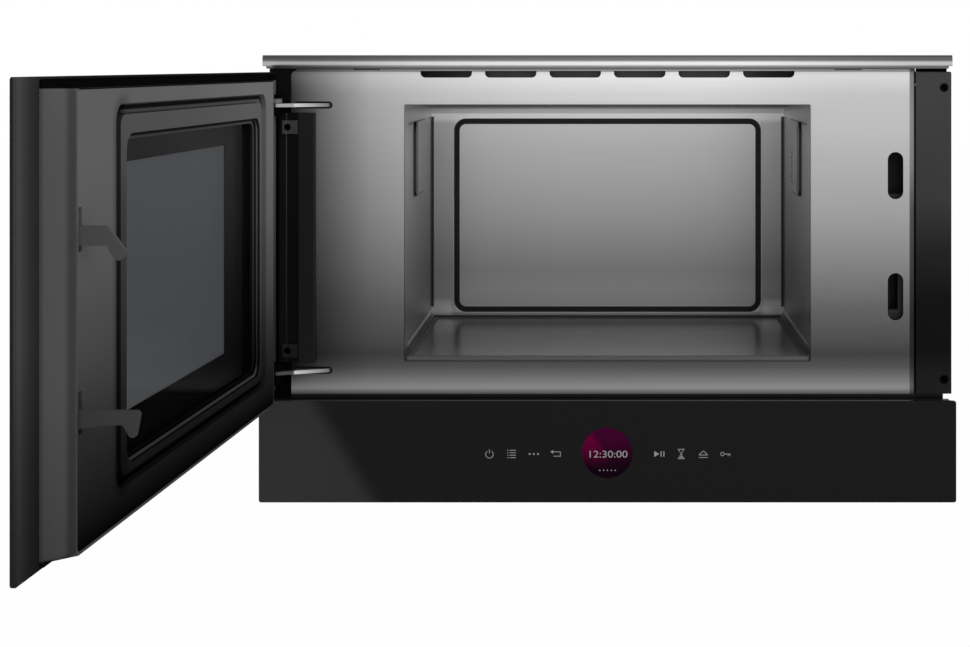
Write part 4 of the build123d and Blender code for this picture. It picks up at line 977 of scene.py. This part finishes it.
class OVEN_OT_add_screws(bpy.types.Operator):
    """Adds the casing screws on the back, the sides and the top"""
    bl_idname = "oven.add_screws"
    bl_label = "Add the screws"

    def head(self, settings, place, turn):
        """A domed head with a recess, seated with its flat side on a sheet."""
        piece = fresh(bpy.ops.mesh.primitive_cylinder_add, vertices=24, radius=settings.head_radius,
                      depth=settings.head_height)
        bpy.ops.object.mode_set(mode="EDIT")
        bpy.ops.mesh.select_mode(type="FACE")
        bpy.ops.mesh.select_all(action="DESELECT")
        bpy.ops.object.mode_set(mode="OBJECT")
        for face in piece.data.polygons:
            face.select = face.normal.z > 0.9
        bpy.ops.object.mode_set(mode="EDIT")
        bpy.ops.mesh.bevel(offset=settings.head_height * 0.45, segments=4, affect="EDGES")
        bpy.ops.mesh.inset(thickness=settings.head_radius * 0.22)
        bpy.ops.mesh.extrude_region_move(
            TRANSFORM_OT_translate={"value": (0, 0, -settings.head_height * 0.5)})
        bpy.ops.object.mode_set(mode="OBJECT")
        select_only(piece)
        bpy.ops.object.shade_smooth_by_angle(angle=math.radians(35))
        piece.location = (0, 0, settings.head_height / 2)
        bpy.ops.object.transform_apply(location=True, rotation=False, scale=False)
        piece.rotation_euler = turn
        piece.location = place
        return piece

    def execute(self, context):
        settings = context.scene.oven_screws
        finish = plain_metal_finish("screw_steel", 150, 0.3)
        edge = settings.edge
        left, right = casing_low.x + edge, casing_high.x - edge
        low, high, back = casing_low.z + edge, casing_high.z - edge, casing_high.y
        middle = (low + high) / 2
        side_rows, top_rows = (-0.12, 0.0, 0.12), (-0.11, 0.0, 0.13)
        sheet = 0.8 * MM
        groups = {
            "rear_screws": ([(x, back, z) for x in (left, 0, right) for z in (low, high)]
                            + [(x, back, middle) for x in (left, right)], (-math.pi / 2, 0, 0)),
            "right_side_screws": ([(casing_high.x, y, low) for y in side_rows], (0, math.pi / 2, 0)),
            "left_side_screws": ([(casing_low.x, y, low) for y in side_rows], (0, -math.pi / 2, 0)),
            "top_screws": ([(x, y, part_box("right_side_panel")[1].z + sheet) for x in (left, right)
                            for y in top_rows], (0, 0, 0)),
        }
        for name, (places, turn) in groups.items():
            heads = [self.head(settings, Vector(place), turn) for place in places]
            seated(joined(heads, name), "oven", finish)
        return {"FINISHED"}


class OVEN_OT_add_hole_shades(bpy.types.Operator):
    """Adds a dark disc behind each hole for a cabinet screw, as painted shade in the hole"""
    bl_idname = "oven.add_sockets"
    bl_label = "Add the screw sockets"

    def disc(self, x, z):
        """A plain round disc with eased edges, a little behind the face of the steel front."""
        piece = fresh(bpy.ops.mesh.primitive_cylinder_add, vertices=32, radius=DISC_RADIUS, depth=DISC_DEPTH,
                      location=(x, plate_y + DISC_SINK, z), rotation=(math.pi / 2, 0, 0))
        return rounded(piece, 0.25 * MM, 2)

    def execute(self, context):
        places = [(right_hole_x, z) for z in RIGHT_HOLES] + [(left_hole_x, z) for z in LEFT_HOLES]
        discs = joined([self.disc(x, z) for x, z in places], "screw_hole_shades")
        # The discs are painted shade in the holes.
        dark = moulded_finish("painted_hole_shade", greys((0.0, 6), (0.4, 12)), specular=0.0)
        seated(discs, "oven", dark)
        return {"FINISHED"}


class OVEN_OT_build_stage(bpy.types.Operator):
    """Adds the floor, the lamps, the world and the camera"""
    bl_idname = "oven.build_stage"
    bl_label = "Build the stage"

    def floor(self):
        bpy.ops.object.select_all(action="DESELECT")
        bpy.ops.mesh.primitive_plane_add(size=14, location=(0, 0, 0))
        floor = bpy.context.object
        floor.name = "floor"
        graph = Graph("pale_floor")
        path = {name: graph.node("ShaderNodeLightPath", output=name)
                for name in ("Is Camera Ray", "Is Glossy Ray", "Is Transmission Ray")}
        seen = (path["Is Camera Ray"] + path["Is Glossy Ray"] + path["Is Transmission Ray"]).clamped()
        paper = graph.node("ShaderNodeBsdfDiffuse", {}, {"Color": (0.82, 0.82, 0.82, 1)})
        light = graph.node("ShaderNodeEmission", {}, {"Color": (1, 1, 1, 1), "Strength": 1.0})
        graph.node_output(graph.node("ShaderNodeMixShader", {}, {0: seen * 0.98, 1: paper, 2: light}))
        floor.data.materials.append(graph.material)

    def world(self, settings):
        world = bpy.data.worlds.new("studio")
        world.use_nodes = True
        bpy.context.scene.world = world
        tree = world.node_tree
        path = tree.nodes.new("ShaderNodeLightPath")
        sums = [tree.nodes.new("ShaderNodeMath") for _ in range(3)]
        for node, operation in zip(sums, ("ADD", "ADD", "MULTIPLY_ADD")):
            node.operation = operation
        sums[1].use_clamp = True
        for ray, node, place in (("Is Camera Ray", sums[0], 0), ("Is Glossy Ray", sums[0], 1),
                                 ("Is Transmission Ray", sums[1], 1)):
            tree.links.new(path.outputs[ray], node.inputs[place])
        for earlier, later in zip(sums, sums[1:]):
            tree.links.new(earlier.outputs[0], later.inputs[0])
        sums[2].inputs[1].default_value = 1.0 - settings.sky
        sums[2].inputs[2].default_value = settings.sky
        tree.links.new(sums[2].outputs[0], tree.nodes["Background"].inputs["Strength"])
        tree.nodes["Background"].inputs["Color"].default_value = (1, 1, 1, 1)

    def lamp(self, name, place, aim, size, power):
        data = bpy.data.lights.new(name, "AREA")
        data.energy, data.size = power, size
        lamp = bpy.data.objects.new(name, data)
        bpy.context.scene.collection.objects.link(lamp)
        lamp.location = place
        lamp.rotation_euler = (Vector(aim) - Vector(place)).to_track_quat("-Z", "Y").to_euler()

    def camera(self, settings):
        data = bpy.data.cameras.new("camera")
        data.sensor_width = 36.0
        data.lens = settings.focal_pixels * data.sensor_width / PHOTO_WIDTH
        data.shift_x = (PHOTO_WIDTH / 2 - settings.centre_x) / PHOTO_WIDTH
        data.shift_y = (settings.centre_y - PHOTO_HEIGHT / 2) / PHOTO_WIDTH
        camera = bpy.data.objects.new("camera", data)
        bpy.context.scene.collection.objects.link(camera)
        camera.location = (0, glass_low.y - settings.distance, settings.height)
        camera.rotation_euler = (math.pi / 2, 0, 0)
        bpy.context.scene.camera = camera

    def execute(self, context):
        settings = context.scene.oven_studio
        self.floor()
        self.world(settings)
        self.lamp("key_lamp", (0.9, -2.6, 2.0), (0, -0.2, 0.2), 2.4, settings.key)
        self.lamp("side_lamp", (2.2, -0.9, 1.4), (-0.2, -0.4, 0.2), 1.8, settings.fill)
        self.camera(settings)
        context.scene.view_settings.view_transform = "Standard"
        return {"FINISHED"}


class OVEN_PT_panel(bpy.types.Panel):
    """Lists the steps that dress the oven"""
    bl_idname = "OVEN_PT_panel"
    bl_label = "Oven"
    bl_space_type = "VIEW_3D"
    bl_region_type = "UI"
    bl_category = "Oven"

    def draw(self, context):
        for step in STEPS:
            self.layout.operator(step.bl_idname)
        for group in (context.scene.oven_panel, context.scene.oven_screws, context.scene.oven_studio):
            box = self.layout.box()
            for name in group.__annotations__:
                box.prop(group, name)


STEPS = (OVEN_OT_finish_casing, OVEN_OT_finish_cavity, OVEN_OT_finish_door, OVEN_OT_add_display,
         OVEN_OT_add_symbols, OVEN_OT_add_screws, OVEN_OT_add_hole_shades, OVEN_OT_build_stage)
CLASSES = (PanelSettings, ScrewSettings, StudioSettings, *STEPS, OVEN_PT_panel)
POINTERS = {"oven_panel": PanelSettings, "oven_screws": ScrewSettings, "oven_studio": StudioSettings}


def register():
    for made in CLASSES:
        bpy.utils.register_class(made)
    for name, group in POINTERS.items():
        setattr(bpy.types.Scene, name, bpy.props.PointerProperty(type=group))
    bpy.types.Scene.oven_ink = bpy.props.PointerProperty(type=bpy.types.Material)


def unregister():
    for name in (*POINTERS, "oven_ink"):
        delattr(bpy.types.Scene, name)
    for made in reversed(CLASSES):
        bpy.utils.unregister_class(made)


def main():
    register()
    bpy.context.scene.oven_ink = ink_finish()
    for step in STEPS:
        area, name = step.bl_idname.split(".")
        getattr(getattr(bpy.ops, area), name)()
    bpy.context.view_layer.update()


if __name__ == "__main__":
    main()
